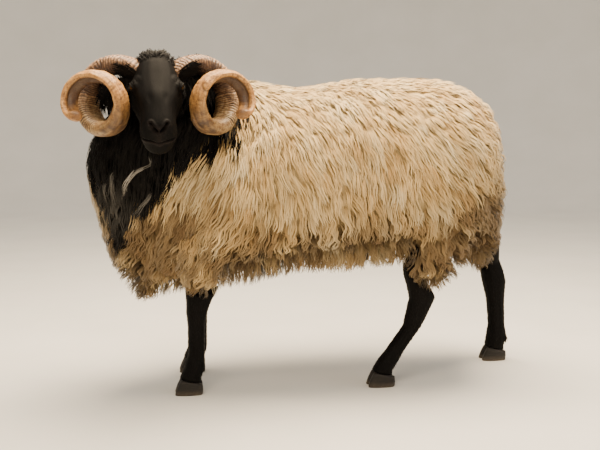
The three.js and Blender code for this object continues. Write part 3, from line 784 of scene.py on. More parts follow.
def makeHorn(word, sign):
    s = hornShape
    i = np.linspace(0, 1, s["steps"])
    angle = s["start"] + (s["end"] - s["start"]) * (1 - (1 - i) ** s["slowStart"])

    def byAngle(key):
        return np.interp(angle, *np.array(s[key], float).T)[:, None]

    # path and thickness, with the corners of the table smoothed away
    path, radialOut = hornPath(angle, sign)
    links = np.stack([np.arange(len(path) - 1), np.arange(1, len(path))], 1)
    path = relax(path, links, 0.5, 40, ease(angle, -38, -20) * ease(angle, 524, 500))
    rows = np.array(s["rows"], float)
    thick, broad = (np.interp(angle, rows[:, 0], rows[:, k]) for k in (2, 3))
    kernel = np.hanning(41) / np.hanning(41).sum()
    keepTip = ease(angle, 500, 512)
    smoothed = (np.convolve(np.pad(v, 20, "edge"), kernel, "valid") for v in (thick, broad))
    thick, broad = (mix(v, kept, keepTip) for v, kept in zip(smoothed, (thick, broad)))
    tangent = unit(np.gradient(path, axis=0))
    across = unit(np.cross(tangent, radialOut))[:, None]
    radial = unit(np.cross(across[:, 0], tangent))[:, None]
    length = np.concatenate([[0], np.cumsum(np.linalg.norm(np.diff(path, axis=0), axis=1))])
    theta, c, d, x, y = roundPoints(s["sides"], s["square"])

    def roundNoise(size, wide, moveX, moveY):  # runs on without a seam round the horn
        circle = [(math.cos(t) * wide + moveX, math.sin(t) * wide + moveY) for t in theta]
        return np.array([[noise.noise(Vector((l / size, *spot))) for spot in circle] for l in length])

    # fine rings that wander a little round the horn, and a deeper groove for each year
    bend = roundNoise(26, 1.1, sign, 0)
    beat = np.array([noise.noise(Vector((l / 9, 3.0 * sign, 7.0))) for l in length])
    phase = (length[:, None] + bend * 5.0) / s["ringSpacing"] + beat[:, None] * 0.35
    ring = np.abs(np.sin(phase * math.pi)) ** mix(2.0, 0.6, ease(angle, 150, 190))[:, None]
    rough = ease(angle, 120, 60)[:, None]  # the root's rings are broken into knobs
    knot = np.abs(np.sin(theta[None] * 7 + np.floor(phase) * 1.9 + bend * 2.5)) ** 0.7
    ringHeight = byAngle("ringHeight") * (0.75 + 0.5 * bend)
    pastYear = (length[:, None] + bend * 12 + 20) % s["yearSpacing"]
    year = bell(pastYear - s["yearSpacing"] / 2, s["yearWidth"]) * (0.45 + bend)
    fade = ease(angle, 526, 440)[:, None]
    lift = (ring - 1) * ringHeight - year * s["yearDepth"] * fade - (1 - knot) * rough * 1.2
    knobs = roundNoise(15, 2.2, 0, 5 * sign)
    lift = lift + knobs * byAngle("knobHeight")
    # the front coil: a dished inner face between two keels
    front = np.arctan2(d, c * sign)  # 0 to the front, a quarter turn out from the coil
    coil = ease(angle, 225, 300)[:, None]
    keel = 3.4 * bell(front - 0.2, 0.26) + 1.5 * bell(front + 2.0, 0.35)
    lift = lift + (keel - bell(front + 0.85, 0.72) * s["hollow"]) * coil * ease(angle, 522, 480)[:, None]
    lift = lift - 2.2 * bell(front - 1.9, 0.7) * (1 - coil) - s["shaved"]
    offset = across * (broad[:, None] * x)[:, :, None] + radial * (thick[:, None] * y)[:, :, None]
    outward = unit(across * c[None, :, None] + radial * d[None, :, None])
    surface = path[:, None] + offset + outward * lift[:, :, None]
    points, quads, tris = loft(surface)
    mesh = makeMesh("horn " + word, toFrame(points), quads, tris)
    piece = makeObject("hornShell_" + word, mesh, [horn])

    def onEach(values):  # a number for each point of the rings, and for the two ends
        spread = np.broadcast_to(values, ring.shape).ravel()
        return np.concatenate([spread, spread[[0, -1]]])

    part = (angle - s["start"]) / (s["end"] - s["start"])
    # painted shade: the rings' grooves, each year's groove and the gaps between the root's knobs are darkened
    groove = ((1 - ring) * byAngle("grooveShade") * (0.9 + 0.6 * bend) + year * fade * 0.6
              + (1 - knot) * rough * 0.7)
    # painted shade: darker on the coil's inner side, over the front coil's dished face, on the front coil's
    # lower outer side and under the root
    inner = ease(-d, -0.1, 0.6)[None, :] * byAngle("innerShade")
    hollowed = bell(front + 1.3, 0.85)[None, :] * coil * byAngle("hollowShade") * (1 + 0.5 * bend)
    cheek = bell(angle - 215, 50)[:, None] * ease(d + 0.3 * c * sign, -0.3, 0.8)[None, :]
    cheek = cheek * (0.8 + 0.6 * knobs)
    low = ease(angle, 100, 40)[:, None] * ease(-d, -0.55, 0.15)[None, :] * (0.8 + 0.7 * bend)
    shade = np.clip(inner + hollowed + cheek + low, 0, 0.93)
    setNumbers(
        mesh, part=onEach(part[:, None]), aroundA=onEach(c[None]), aroundB=onEach(d[None]),
        groove=onEach(np.clip(groove, 0, 0.95)), shade=onEach(shade),
    )
    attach(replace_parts(piece, "horn_" + word), "root")
    return piece, angle, surface, outward, d


hornParts = [makeHorn(word, sign) for word, sign in bothSides]
print("horns wound")

# Eyes. "cornea": its height in mm and its width as an angle. "back": moves the pattern off the back half.
eyeShape = {"levels": 42, "sides": 56, "under": 0.4, "cornea": (1.3, 0.62), "back": 40}

level = np.array([math.cos(pitch), 0, math.sin(pitch)])  # straight ahead and level, in the head's axes
for word, sign in bothSides:
    look = gaze * (1, sign, 1)
    flat = unit(level - look * (level @ look))
    lift = np.cross(look, flat)
    lift = lift * np.sign(lift[2])
    _, c, d, _, _ = roundPoints(eyeShape["sides"])
    corneaHeight, corneaWidth = eyeShape["cornea"]
    rings = []
    numbers = []
    for t in np.linspace(0, math.pi, eyeShape["levels"])[1:-1]:
        radius = face["eyeRadius"] - eyeShape["under"] + corneaHeight * float(bell(t, corneaWidth))
        circle = np.sin(t) * (c[:, None] * flat + d[:, None] * lift)
        local = (circle + look * math.cos(t)) * radius
        rings.append(headOrigin + (np.array(face["eye"]) * (1, sign, 1) + local) @ headAxes)
        back = 0 if t < math.pi / 2 else eyeShape["back"]
        numbers.append(np.stack([local @ flat, local @ lift], 1) + back)
    points, quads, tris = loft(rings)
    mesh = makeMesh("eye " + word, toFrame(points), quads, tris)
    gazeNumbers = np.concatenate([np.concatenate(numbers), [[0, 0], [eyeShape["back"]] * 2]])
    setNumbers(mesh, gazeAlong=gazeNumbers[:, 0], gazeUp=gazeNumbers[:, 1])
    eyeball = makeObject("eyeball_" + word, mesh, [eyeGloss])
    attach(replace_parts(eyeball, "eye_" + word), "root")

# hooves
hoofShape = {
    "feet": {"foreleg_left": (8, -105), "foreleg_right": (21, 105),
             "hindleg_left": (516, -105), "hindleg_right": (903, 105)},
    "length": 72, "width": 25, "toe": 40, "heel": 26, "cleft": 4, "square": 2.6, "sides": 44, "levels": 15,
    # from the ground up: part of the length, part of the width, and how far the toe stands forward
    "taper": ([1, 0.92, 0.78], [1, 0.96, 0.88], [6, 2, -2]),
    "growth": 0.008,  # the growth lines' height as a part of the length
}
for name, (footX, footY) in hoofShape["feet"].items():
    s = hoofShape
    shells = []
    for side in (-1, 1):
        rings = []
        for part in np.linspace(0, 1, s["levels"]):
            long, wide, toe = (np.interp(part, [0, 0.5, 1], v) for v in s["taper"])
            worn = 1 - 0.05 * float(bell(part, 0.05)) - 0.02 * float(bell(part - 1, 0.06))  # rounded edges
            growth = 1 + s["growth"] * math.sin(part * 31) * math.sin(part * 7 + side)
            middle = (footX - toe, footY + side * (s["width"] + s["cleft"]) / 2, 0)
            halfLong, halfWide = long * worn * growth * s["length"] / 2, wide * worn * s["width"] / 2
            ring = outline(middle, (halfLong, 0, 0), (0, halfWide, 0), s["sides"], s["square"])
            slope = np.clip((ring[:, 0] - footX) / s["length"] + 0.5, 0, 1)
            ring[:, 2] = part * (s["toe"] + (s["heel"] - s["toe"]) * slope)
            rings.append(ring)
        shells.append(loft(rings))
    count = len(shells[0][0])
    points = np.concatenate([shell[0] for shell in shells])
    quads, tris = (np.concatenate([shell[k] + i * count for i, shell in enumerate(shells)]) for k in (1, 2))
    pair = makeObject("hooves_" + name, makeMesh("hooves " + name, toFrame(points), quads, tris), [hoof])
    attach(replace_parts(pair, name + "_claw_inner", name + "_claw_outer"), "root")
print("eyes and hooves made")

# numbers on the skin for its material
skinRows = toRows(pointsOf(skin.data))
x, y, z = skinRows.T
inHead = toHead(skinRows)
nearHead = ease(away(skinRows, headOrigin), 185, 165)
onLeg = ease(z, 352, 330)
lowDown = np.nonzero((z > 320) & (z < 520) & (np.abs(y) > 60))[0]
found = [outerTree.find_nearest(Vector(p)) for p in skinRows[lowDown]]
outside = np.array([(Vector(p) - f[0]).dot(f[1]) for p, f in zip(skinRows[lowDown], found)])
onLeg[lowDown] = np.maximum(onLeg[lowDown], ease(outside, -9, -3))  # what stands out of the wool is leg
for chain in limbs.values():
    chain = np.array(chain, float)
    for start, end in zip(chain[:-1], chain[1:]):
        gapTo, t = segmentDistance(skinRows, start[:3], end[:3])
        reached = ease(gapTo - mix(start[3], end[3], t), 12, 4) * ease(z, 425, 395)
        onLeg = np.maximum(onLeg, reached)
slit, _ = segmentDistance(folded(inHead), face["nostrilFrom"], face["nostrilTo"])
split, _ = segmentDistance(folded(inHead), (132, 0, -22), (128, 0, -58))
lips = bell(inHead[:, 2] - face["mouthUp"] - 1, 4.5) * ease(inHead[:, 0], 88, 112)
bareSkin = np.clip(bell(slit, 7) + bell(split, 8) + 0.8 * lips, 0, 1) * nearHead
# the hair's nap: fine across it, drawn out eight times along it, in mm
headNap = np.stack([inHead[:, 1] / 1.2, inHead[:, 0] / 8, inHead[:, 2] / 1.2], 1)
legNap = np.stack([x / 1.2, z / 8, y / 1.2], 1)
nap = np.where(nearHead[:, None] > 0.5, headNap, legNap)
# the dirt number on the skin carries mud and painted shade, as on the fleece
setNumbers(
    skin.data, dark=np.maximum.reduce([blackness(skinRows), nearHead, onLeg]), bare=bareSkin,
    dirt=soilingAndShade(skinRows), napAcross=nap[:, 0], napAlong=nap[:, 1], napUp=nap[:, 2],
)
skin.data.materials.clear()
skin.data.materials.append(hide)
skin.data.polygons.foreach_set("material_index", np.zeros(len(skin.data.polygons), np.int32))
skin.data.polygons.foreach_set("use_smooth", np.ones(len(skin.data.polygons), bool))
skin.name = "hide_whole"
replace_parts(skin, "trunk", "neck", "tail", "head", "ear_left", "ear_right", *limbs)
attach(skin, "root")


# where a lock's colours are kept: its root on an unwrap of the skin
def unwrapAlong(points, start, end, top):  # a capsule opened out: along its axis, and round it
    start, end = np.asarray(start, float), np.asarray(end, float)
    axis = unit(end - start)
    length = np.linalg.norm(end - start)
    side = unit(np.cross(axis, top))
    up = np.cross(side, axis)
    d = points - start
    t = d @ axis
    beyond = t - np.clip(t, 0, length)
    off = np.hypot(d @ side, d @ up)
    cap = np.arctan2(beyond, off) / (math.pi / 2)
    reach = 0.22 * length
    u = (np.clip(t, 0, length) + cap * reach + reach) / (length + 2 * reach)
    return np.stack([u, np.arctan2(d @ side, d @ up) / (2 * math.pi) + 0.5], 1)


# chart: corner and size in the map, axis start and end in mm, and what points up
charts = {
    "body": ((0.01, 0.01), (0.98, 0.60), (-60, 0, 560), (700, 0, 560), (0, 0, 1)),
    "head": ((0.01, 0.63), (0.44, 0.36), fromHead(-70, 0, -10), fromHead(105, 0, -30), headUp),
    "foreleg_left": ((0.47, 0.63), (0.12, 0.36), (30, -102, 300), (20, -105, 40), (1, 0, 0)),
    "foreleg_right": ((0.60, 0.63), (0.12, 0.36), (43, 102, 300), (33, 105, 40), (1, 0, 0)),
    "hindleg_left": ((0.73, 0.63), (0.12, 0.36), (610, -112, 320), (530, -105, 40), (1, 0, 0)),
    "hindleg_right": ((0.86, 0.63), (0.12, 0.36), (880, 110, 320), (903, 105, 40), (1, 0, 0)),
}
tuftPatch = 0.003  # the size of one lock's patch in the map


def rootPlace(rows, chart):
    (left, low), (wide, high), start, end, top = charts[chart]
    return np.array([left, low]) + unwrapAlong(rows, start, end, top) * (wide, high)


# Locks, which all the long and short hair is made of.
# What a kind of lock may leave out. "shortest": of its strands, as a part. "flat": its height by its width.
# "lift": how high its waves stand by their width. "stray": how far the ends wander, in mm. "soft": how far a
# strand is shaded as the coat is, and not as a strand of its own.
lockDefaults = {"shortest": 0.78, "flat": 0.6, "lift": 0.6, "stray": 1.5, "soft": 0.7, "clumpTone": 0.5}


def makeLocks(name, path, normals, chart, look, numbers, material):
    # path and normals: one guide each, from root to tip, in mm. look: numbers, or arrays with one per guide.
    # numbers: more of them, for the material. Gives back how many triangles were made.
    look = {**lockDefaults, **look}
    count, knots = path.shape[:2]
    guide = np.repeat(np.arange(count), look["strands"])
    total = len(guide)

    def perStrand(value):
        return np.broadcast_to(np.asarray(value, float), (count,))[guide]

    t = np.linspace(0, 1, look["steps"])
    reach = rng.uniform(look["shortest"], 1.0, total)  # strands end at different lengths
    place = reach[:, None] * t * (knots - 1)
    low = np.minimum(place.astype(int), knots - 2)
    f = (place - low)[:, :, None]
    g = guide[:, None]
    centre = path[g, low] * (1 - f) + path[g, low + 1] * f
    normal = unit(normals[g, low] * (1 - f) + normals[g, low + 1] * f)
    tangent = unit(np.gradient(centre, axis=1))
    across = unit(np.cross(tangent, normal))
    normal = np.cross(across, tangent)
    # each strand's place in the lock: beside and above its middle, gathered towards the tip
    angle = rng.uniform(0, 2 * math.pi, total)
    radius = np.sqrt(rng.uniform(0, 1, total)) * perStrand(look["spread"])
    a, b = radius * np.cos(angle), radius * np.sin(angle) * look["flat"]
    gather = 1 - (1 - perStrand(look["tipSpread"]))[:, None] * t ** 1.15
    # the wave the strands of a lock share, and how far each is out of step with it
    length = np.linalg.norm(np.diff(centre, axis=1), axis=2).sum(1)
    phase = rng.uniform(0, 2 * math.pi, count)[guide] + rng.normal(0, 0.32, total)
    wave = perStrand(look["wave"]) * rng.uniform(0.88, 1.12, total)
    swing = perStrand(look["curl"])[:, None] * ease(t, 0.0, 0.35)
    turn = 2 * math.pi * (length[:, None] * t) / wave[:, None] + phase[:, None]
    stray = rng.normal(0, 1, (total, 2)) * look["stray"]
    sideways = a[:, None] * gather + swing * np.sin(turn) + stray[:, :1] * t ** 2
    outward = b[:, None] * gather + swing * look["lift"] * np.cos(turn) + stray[:, 1:] * 0.5 * t ** 2
    middle = centre + across * sideways[:, :, None] + normal * outward[:, :, None]
    # three-sided rings, the last one drawn together to a point
    width = perStrand(look["width"])[:, None] * rng.uniform(0.75, 1.25, (total, 1))
    profile = (0.7 + 0.4 * np.sin(math.pi * np.minimum(t * 1.15, 1))) * np.sqrt(np.clip(1 - t ** 3, 0, 1))
    half = width * profile / 2
    twist = rng.uniform(-0.4, 0.4, total)[:, None] + rng.normal(0, 0.5, total)[:, None] * t
    corners, facings = [], []
    for corner in (0, 1, 2):
        turnAt = twist + corner * 2 * math.pi / 3 + math.pi / 2
        c, s = np.cos(turnAt)[:, :, None], np.sin(turnAt)[:, :, None]
        corners.append(middle + across * (c * half[:, :, None]) + normal * (s * half[:, :, None] * 0.5))
        facings.append(mix(across * c + normal * s, normal, look["soft"]))
    body = np.stack(corners, 2)[:, :-1].reshape(total, -1, 3)
    points = np.concatenate([body, middle[:, -1:]], 1)
    shading = np.concatenate([np.stack(facings, 2)[:, :-1].reshape(total, -1, 3), normal[:, -1:]], 1)
    each = points.shape[1]
    rings = look["steps"] - 1
    last = (rings - 1) * 3
    ringQuads = [(k * 3 + (c + 1) % 3, k * 3 + c, k * 3 + 3 + c, k * 3 + 3 + (c + 1) % 3)
                 for k in range(rings - 1) for c in range(3)]
    endTris = [(last + (c + 1) % 3, last + c, each - 1) for c in range(3)] + [(0, 1, 2)]
    starts = np.arange(total)[:, None, None] * each
    quads = (np.array(ringQuads)[None] + starts).reshape(-1, 4)
    tris = (np.array(endTris)[None] + starts).reshape(-1, 3)
    mesh = makeMesh(name, toFrame(points.reshape(-1, 3)), quads, tris)
    # numbers on the strands for their material
    along = np.tile(t[np.concatenate([np.repeat(np.arange(rings), 3), [rings]])], total)
    acrossPoint = np.tile(np.concatenate([np.tile([0.0, 0.5, 1.0], rings), [0.5]]), total)
    tone = (0.5 * perStrand(look["clumpTone"]) + 0.3 * rng.uniform(0, 1, count)[guide]
            + 0.2 * rng.uniform(0, 1, total))
    more = {key: np.repeat(perStrand(value), each) for key, value in numbers.items()}
    setNumbers(mesh, along=along * np.repeat(reach, each), across=acrossPoint,
               tone=np.repeat(tone, each), **more)
    patch = np.stack([acrossPoint, along], 1).reshape(total, each, 2) - 0.5
    uv = rootPlace(centre[:, 0], chart)[:, None] + patch * tuftPatch
    layer = mesh.uv_layers.new(name="OFBake")
    uvCorners = np.clip(uv.reshape(-1, 2)[cornersOf(mesh)], 0, 1)
    layer.data.foreach_set("uv", uvCorners.astype(np.float32).ravel())
    mesh.normals_split_custom_set_from_vertices(unit(shading.reshape(-1, 3)).astype(np.float32))
    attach(makeObject(name, mesh, [material]), "root")
    return len(quads) * 2 + len(tris)


skullTree = treeOf(skull)
hornTrees = [treeOf(parts[0]) for parts in hornParts]

# how the fleece lies, by distance along the body: its lean to the tail, high on the side and low
leanTable = np.array([
    (-150, -0.35, -0.30), (0, -0.50, -0.50), (80, -0.30, -0.50), (180, 0.25, -0.25), (280, 0.55, 0.0),
    (380, 0.45, 0.0), (480, 0.35, 0.05), (580, 0.6, 0.05), (680, 0.75, 0.4), (780, 0.65, 0.25),
    (850, 0.3, 0.0)])


def turned(way, normals, angle):  # turns a way about the normals
    return way * np.cos(angle)[:, None] + np.cross(normals, way) * np.sin(angle)[:, None]


def lie(rows, normals, swirl):
    x, z = rows[:, 0], rows[:, 2]
    lowLean, highLean = (np.interp(x, leanTable[:, 0], leanTable[:, k]) for k in (2, 1))
    lean = mix(lowLean, highLean, ease(z, 380, 640))
    lean = mix(lean, -0.12, blackness(rows) * ease(z, 700, 600))
    way = np.stack([lean, np.zeros(len(x)), -np.ones(len(x))], 1)
    fromHeadWay = unit(rows - fromHead(-30, 0, 40))
    close = ease(away(rows, headOrigin), 300, 160) * ease(z, 690, 770)
    way = alongSurface(way + fromHeadWay * (1.6 * close)[:, None], normals)
    return unit(turned(way, normals, swirl))


def scatter(rows, inner, quads, spacing):  # places over faces, evenly: outer and inner points, spacing in mm
    corners = rows[quads]
    area = np.linalg.norm(np.cross(corners[:, 2] - corners[:, 0], corners[:, 3] - corners[:, 1]), axis=1) / 2
    gapOf = spacing(corners.mean(1))
    chance = area / gapOf ** 2
    picks = rng.choice(len(quads), int(chance.sum() * 2.4), p=chance / chance.sum())
    u, v = rng.uniform(0, 1, (2, len(picks), 1))
    weights = [(1 - u) * (1 - v), u * (1 - v), u * v, (1 - u) * v]
    place, deep = (sum(w * points[quads[picks, k]] for k, w in enumerate(weights))
                   for points in (rows, inner))
    cell = np.floor(place / (gapOf[picks, None] * 1.12)).astype(int)
    _, first = np.unique(cell @ np.array([1, 4099, 4099 ** 2]), return_index=True)  # one in each cell
    first.sort()
    return place[first], deep[first], picks[first]


def graded(value, *changes):  # a number that changes with place. Each change: to what, and how far
    for wanted, share in changes:
        value = mix(value, wanted, share)
    return value


def fleeceSpacing(middle):
    x, z = middle[:, 0], middle[:, 2]
    return graded(20.0, (18.0, ease(z, 600, 720)), (18.5, ease(x, 640, 720) * ease(z, 540, 640)),
                  (16.5, blackness(middle)))


def besideSkull(point):  # how far the nearest face is, and how far outside of it the point lies
    spot, facing, _, distance = skullTree.find_nearest(Vector(point))
    return distance, dot(point - np.array(spot), np.array(facing))


place, deep, faceOf = scatter(outerRows, innerRows, outerQuads, fleeceSpacing)
normal = outerFaceNormals[faceOf]
# none grows on the face itself or inside it
distance, outside = np.array([besideSkull(p) for p in place]).T
behindFace = toHead(place)[:, 0] < -58
keep = (outside > 0) & (distance > 7) | behindFace & (outside > -12) | (distance > 60)
place, deep, normal = place[keep], deep[keep], normal[keep]
count = len(place)
print("guides:", count)

x, y, z = place.T
under = ease(-normal[:, 2], 0.15, 0.6)
top = ease(z, 640, 770) * (1 - ease(x, 120, 20))
rump = ease(x, 700, 800) * ease(z, 300, 380)
thigh = ease(x, 560, 660) * ease(z, 560, 440)
lowSide = ease(z, 560, 380)
neckSide = ease(x, 160, 60)
curly = np.maximum(rump, thigh)
black = rng.uniform(0, 1, count) < blackness(place)

# Guides from root to tip, laid over the surface. "lump": how far they rise and fall together, in mm.
# "follow" and "hang": how far each knot turns to the surface ahead, and to the way the fleece lies there.
growth = {
    "knots": 12, "swirl": 0.30, "rumpSwirl": 0.9, "thighSwirl": 0.7, "lump": 4, "follow": 0.5, "hang": 0.45,
}
length = graded(82.0, (98.0, lowSide), (56.0, top), (66.0, rump), (62.0, thigh * ease(x, 500, 700)),
                (96.0, neckSide * (1 - top)))
length = np.where(black, mix(92.0, 60.0, ease(z, 690, 800)), length)
length *= rng.uniform(0.8, 1.15, count)
swirl = growth["swirl"] * wander(place, 90.0, 1.0) + rng.normal(0, 0.10, count)
rumpSwirl = (growth["rumpSwirl"] * wander(place, 62.0, 2.0) + 0.25) * rump * ease(z, 720, 560)
swirl += rumpSwirl + growth["thighSwirl"] * wander(place, 70.0, 4.0) * thigh
height = away(place, deep)
lumps = growth["lump"] * wander(place, 48.0, 6.0) * mix(1.0, 0.3, top) + 1.5
lay = rng.uniform(0, 1, count) * mix(8, 4, top) + lumps
tipLay = rng.uniform(-2, 4, count) + lumps - 15 * under  # the belly's locks hang past the mean surface

knots = growth["knots"]
path = np.zeros((count, knots, 3))
normals = np.zeros_like(path)
spot, spotNormal = place.copy(), normal.copy()
way = lie(spot, spotNormal, swirl)
riseEnd = mix(0.4, 1.0, under)
for k in range(knots):
    t = k / (knots - 1)
    rise = np.clip(t / riseEnd, 0, 1)
    rise = rise * rise * (3 - 2 * rise)
    sink = mix(height, mix(lay, tipLay, t), rise)
    path[:, k] = spot - spotNormal * sink[:, None]
    normals[:, k] = spotNormal
    if k == knots - 1:
        break
    slow = mix(1.0, 0.3, np.maximum(under, ease(-spotNormal[:, 2], 0.1, 0.5)))
    ahead = spot + way * (length / (knots - 1) * slow)[:, None]
    found = [outerTree.find_nearest(Vector(p)) for p in ahead]
    spot = np.array([f[0] for f in found])
    nextNormal = outerFaceNormals[[f[2] for f in found]]
    spotNormal = unit(spotNormal * (1 - growth["follow"]) + nextNormal * growth["follow"])
    way = unit(way * (1 - growth["hang"]) + lie(spot, spotNormal, swirl) * growth["hang"])
    way = alongSurface(way, spotNormal, 0.8)

# none runs through a horn
clear = np.ones(count, bool)
for index in np.nonzero(away(place, headOrigin) < 420)[0]:
    for tree in hornTrees:
        for k in range(0, knots, 2):
            spotAt, facing, _, distance = tree.find_nearest(Vector(path[index, k]))
            if distance < 30 and (Vector(path[index, k]) - spotAt).dot(facing) < -2:
                clear[index] = False
print("kept clear of the horns:", clear.sum())

lockNumbers = {
    "curl": graded(1.8, (4.6, lowSide), (0.6, top), (5.6, rump), (4.4, thigh)) * rng.uniform(0.6, 1.3, count),
    "wave": graded(50.0, (46.0, lowSide), (34.0, top), (38.0, curly)),
    "width": graded(3.1, (3.6, lowSide), (3.0, top), (3.7, curly)),
    "spread": mix(13.0, 14.0, top),
    "tipSpread": graded(0.85, (0.55, lowSide), (1.05, top), (0.5, curly)),
    "clumpTone": np.clip(0.5 + 0.95 * wander(place, 52.0, 15.0), 0, 1),
}
# mud and painted shade for each lock, taken at its middle
dirt = np.clip(soilingAndShade(path[:, knots // 2]) + rng.normal(0, 0.06, count), 0, 0.9)

coat = {
    "back": {"steps": 6, "strands": 10, "flat": 0.35, "lift": 0.4, "stray": 1.8, "shortest": 0.6,
             "soft": 0.94},
    "side": {"steps": 6, "strands": 9, "flat": 0.5, "lift": 0.5, "stray": 2.5, "shortest": 0.6, "soft": 0.82},
    "hem": {"steps": 8, "strands": 7, "flat": 0.5, "lift": 0.6, "stray": 2.5, "shortest": 0.76, "soft": 0.78},
    "curls": {"steps": 9, "strands": 6, "flat": 0.6, "lift": 0.8, "stray": 2.5, "shortest": 0.65,
              "soft": 0.72},
    "bib": {"steps": 7, "strands": 8, "flat": 0.6, "lift": 0.5, "stray": 4.0, "shortest": 0.6, "soft": 0.6,
            "curl": 2.0, "wave": 66.0, "width": 2.7, "spread": 10.0, "tipSpread": 0.75},
}
mostFaces = 188000  # in one piece


def coatPieces(name, chosen, kind, material, extra):  # gives back how many triangles were made
    order = np.nonzero(chosen)[0]
    order = order[np.argsort(place[order, 0])]
    perGuide = coat[kind]["strands"] * (6 * (coat[kind]["steps"] - 2) + 4)
    size = max(1, mostFaces // perGuide)
    made = 0
    for part in range(0, len(order), size):
        ids = order[part:part + size]
        look = {**{key: values[ids] for key, values in lockNumbers.items()}, **coat[kind]}
        numbers = {key: values[ids] for key, values in extra.items()}
        pieceName = f"{name}_{part // size + 1}"
        made += makeLocks(pieceName, path[ids], normals[ids], "body", look, numbers, material)
    return made


left = place[:, 1] < 0
kindOf = np.where(curly > 0.5, 3, np.where(top > 0.25, 0, np.where(lowSide < 0.35, 1, 2)))
longFaces = 0
for kindIndex, kind in enumerate(("back", "side", "hem", "curls")):
    for word, half in (("Left", left), ("Right", ~left)):
        chosen = clear & ~black & half & (kindOf == kindIndex)
        longFaces += coatPieces(kind + "Wool" + word, chosen, kind, wool, {"dirt": dirt})
pale = bell(away(place, (-190, -106, 510)), 60) * rng.uniform(0.04, 0.2, count)
longFaces += coatPieces("bib", clear & black, "bib", blackHair, {"pale": pale})

# wisps of white hair in the bib: how pale, how many strands, and points down each in mm
wisps = [
    (0.30, 5, [(-88, -174, 620), (-80, -171, 604), (-84, -169, 594), (-108, -162, 584), (-126, -155, 574),
               (-136, -149, 560)]),
    (0.60, 9, [(-96, -167, 590), (-112, -161, 582), (-126, -155, 574), (-138, -148, 558), (-146, -142, 543),
               (-150, -138, 526), (-153, -134, 508)]),
    (0.85, 8, [(-118, -160, 582), (-134, -152, 566), (-143, -145, 548), (-148, -140, 532),
               (-151, -136, 516)]),
    (0.30, 7, [(-176, -134, 578), (-178, -128, 558), (-179, -121, 537), (-176, -115, 507),
               (-174, -110, 480)]),
    (0.30, 7, [(-80, -156, 534), (-98, -146, 504), (-111, -138, 488), (-129, -128, 467), (-142, -118, 442)]),
    (0.25, 6, [(-196, -114, 552), (-197, -110, 530), (-193, -104, 500), (-186, -98, 470)]),
]
wispLook = {"steps": 11, "flat": 0.3, "lift": 0.4, "stray": 5.0, "shortest": 0.5, "curl": 1.2, "wave": 55.0,
            "width": 1.3, "spread": 6.5, "tipSpread": 1.0, "soft": 0.6}
wispLift = np.concatenate([[-6, -1], np.full(12, 2.5)])  # rooted in the coat, and lying on it
for index, (paleness, strands, points) in enumerate(wisps):
    given = np.array(points, float)
    at = np.linspace(0, len(given) - 1, len(wispLift))
    laid = np.stack([np.interp(at, np.arange(len(given)), given[:, k]) for k in range(3)], 1)
    laid = relax(laid, np.stack([np.arange(len(laid) - 1), np.arange(1, len(laid))], 1), 0.5, 2)
    facing = outerFaceNormals[[outerTree.find_nearest(Vector(p))[2] for p in laid]]
    laid = laid + facing * wispLift[:, None]
    longFaces += makeLocks(f"bibWisp_{index + 1}", laid[None], facing[None], "body",
                           dict(wispLook, strands=strands), {"pale": paleness}, blackHair)
print("long coat:", longFaces, "faces")


# short hair: small tufts on face, ears and legs
def shortCoat(name, body, spacing, chart, aim, sizeOf, look, allowed=None):
    mesh = body.data
    mesh.calc_loop_triangles()
    tris = read(mesh.loop_triangles, "vertices", 3, np.int32)
    rows = toRows(pointsOf(mesh))
    quads = np.concatenate([tris, tris[:, 2:]], 1)
    spots, _, faces = scatter(rows, rows, quads, lambda middle: np.full(len(middle), spacing))
    ns = unit(normalsOf(mesh)[tris[faces]].mean(1))
    if allowed:
        ok = allowed(spots, ns)
        spots, ns = spots[ok], ns[ok]
    size, lift = sizeOf(spots, ns)
    direction = alongSurface(aim(spots, ns), ns)
    direction = turned(direction, ns, rng.normal(0, 0.22, len(spots)) + 0.35 * wander(spots, 18.0, 9.0))
    t = np.linspace(0, 1, look["steps"])[None, :, None]
    paths = spots[:, None] + direction[:, None] * (t * size[:, None, None])
    paths += ns[:, None] * ((lift * size)[:, None, None] * (t - 0.35 * t * t) - 0.6 * (1 - t) ** 2)
    paths[:, :, 2] -= look.get("droop", 0) * size[:, None] * t[:, :, 0] ** 2
    facing = np.repeat(ns[:, None], look["steps"], 1)
    return makeLocks(name, paths, facing, chart, look, {"pale": 0}, blackHair)


def longHair(q):  # where the head's hair grows long: crown, cheeks and chin
    crown = ease(q[:, 0], -38, -60) * ease(q[:, 2], 6, 34)
    cheek = ease(q[:, 0], -24, -48) * ease(np.abs(q[:, 1]), 24, 42) * ease(q[:, 2], 40, 22)
    chin = ease(q[:, 2], -66, -90) * ease(q[:, 0], 112, 80)
    return crown, cheek, chin


def faceAim(rows, ns):
    q, n = toHead(rows), ns @ headAxes.T
    front = ease(n[:, 2], 0.35, 0.7) * ease(q[:, 0], -8, 14)
    local = np.stack([mix(-1.0, 0.9, front), 0.25 * np.sign(q[:, 1]) * front, mix(-0.55, 0.0, front)], 1)
    return local @ headAxes


def faceSize(rows, ns):
    size = graded(7.5, (5.5, ease(ns @ headUp, 0.3, 0.7)), (4.5, ease(toHead(rows)[:, 0], 95, 122)))
    return size * rng.uniform(0.7, 1.2, len(rows)), np.full(len(rows), 0.16)


def faceAllowed(rows, ns):
    q = toHead(rows)
    nostril, _ = segmentDistance(folded(q), face["nostrilFrom"], face["nostrilTo"])
    philtrum = (np.abs(q[:, 1]) < 5) & (q[:, 0] > 118)
    mouth = (np.abs(q[:, 2] - face["mouthUp"]) < 5) & (q[:, 0] > face["mouthCorner"])
    long = np.maximum.reduce(longHair(q)) > 0.7
    flat = rng.uniform(0, 1, len(rows)) < ease(ns @ headUp, 0.05, 0.4)  # bump alone on the flat of the face
    bare = (nostril <= 8) | nearEye(rows, 17.5) | philtrum | mouth
    return ~bare & ~long & ~flat & (q[:, 0] > -60)


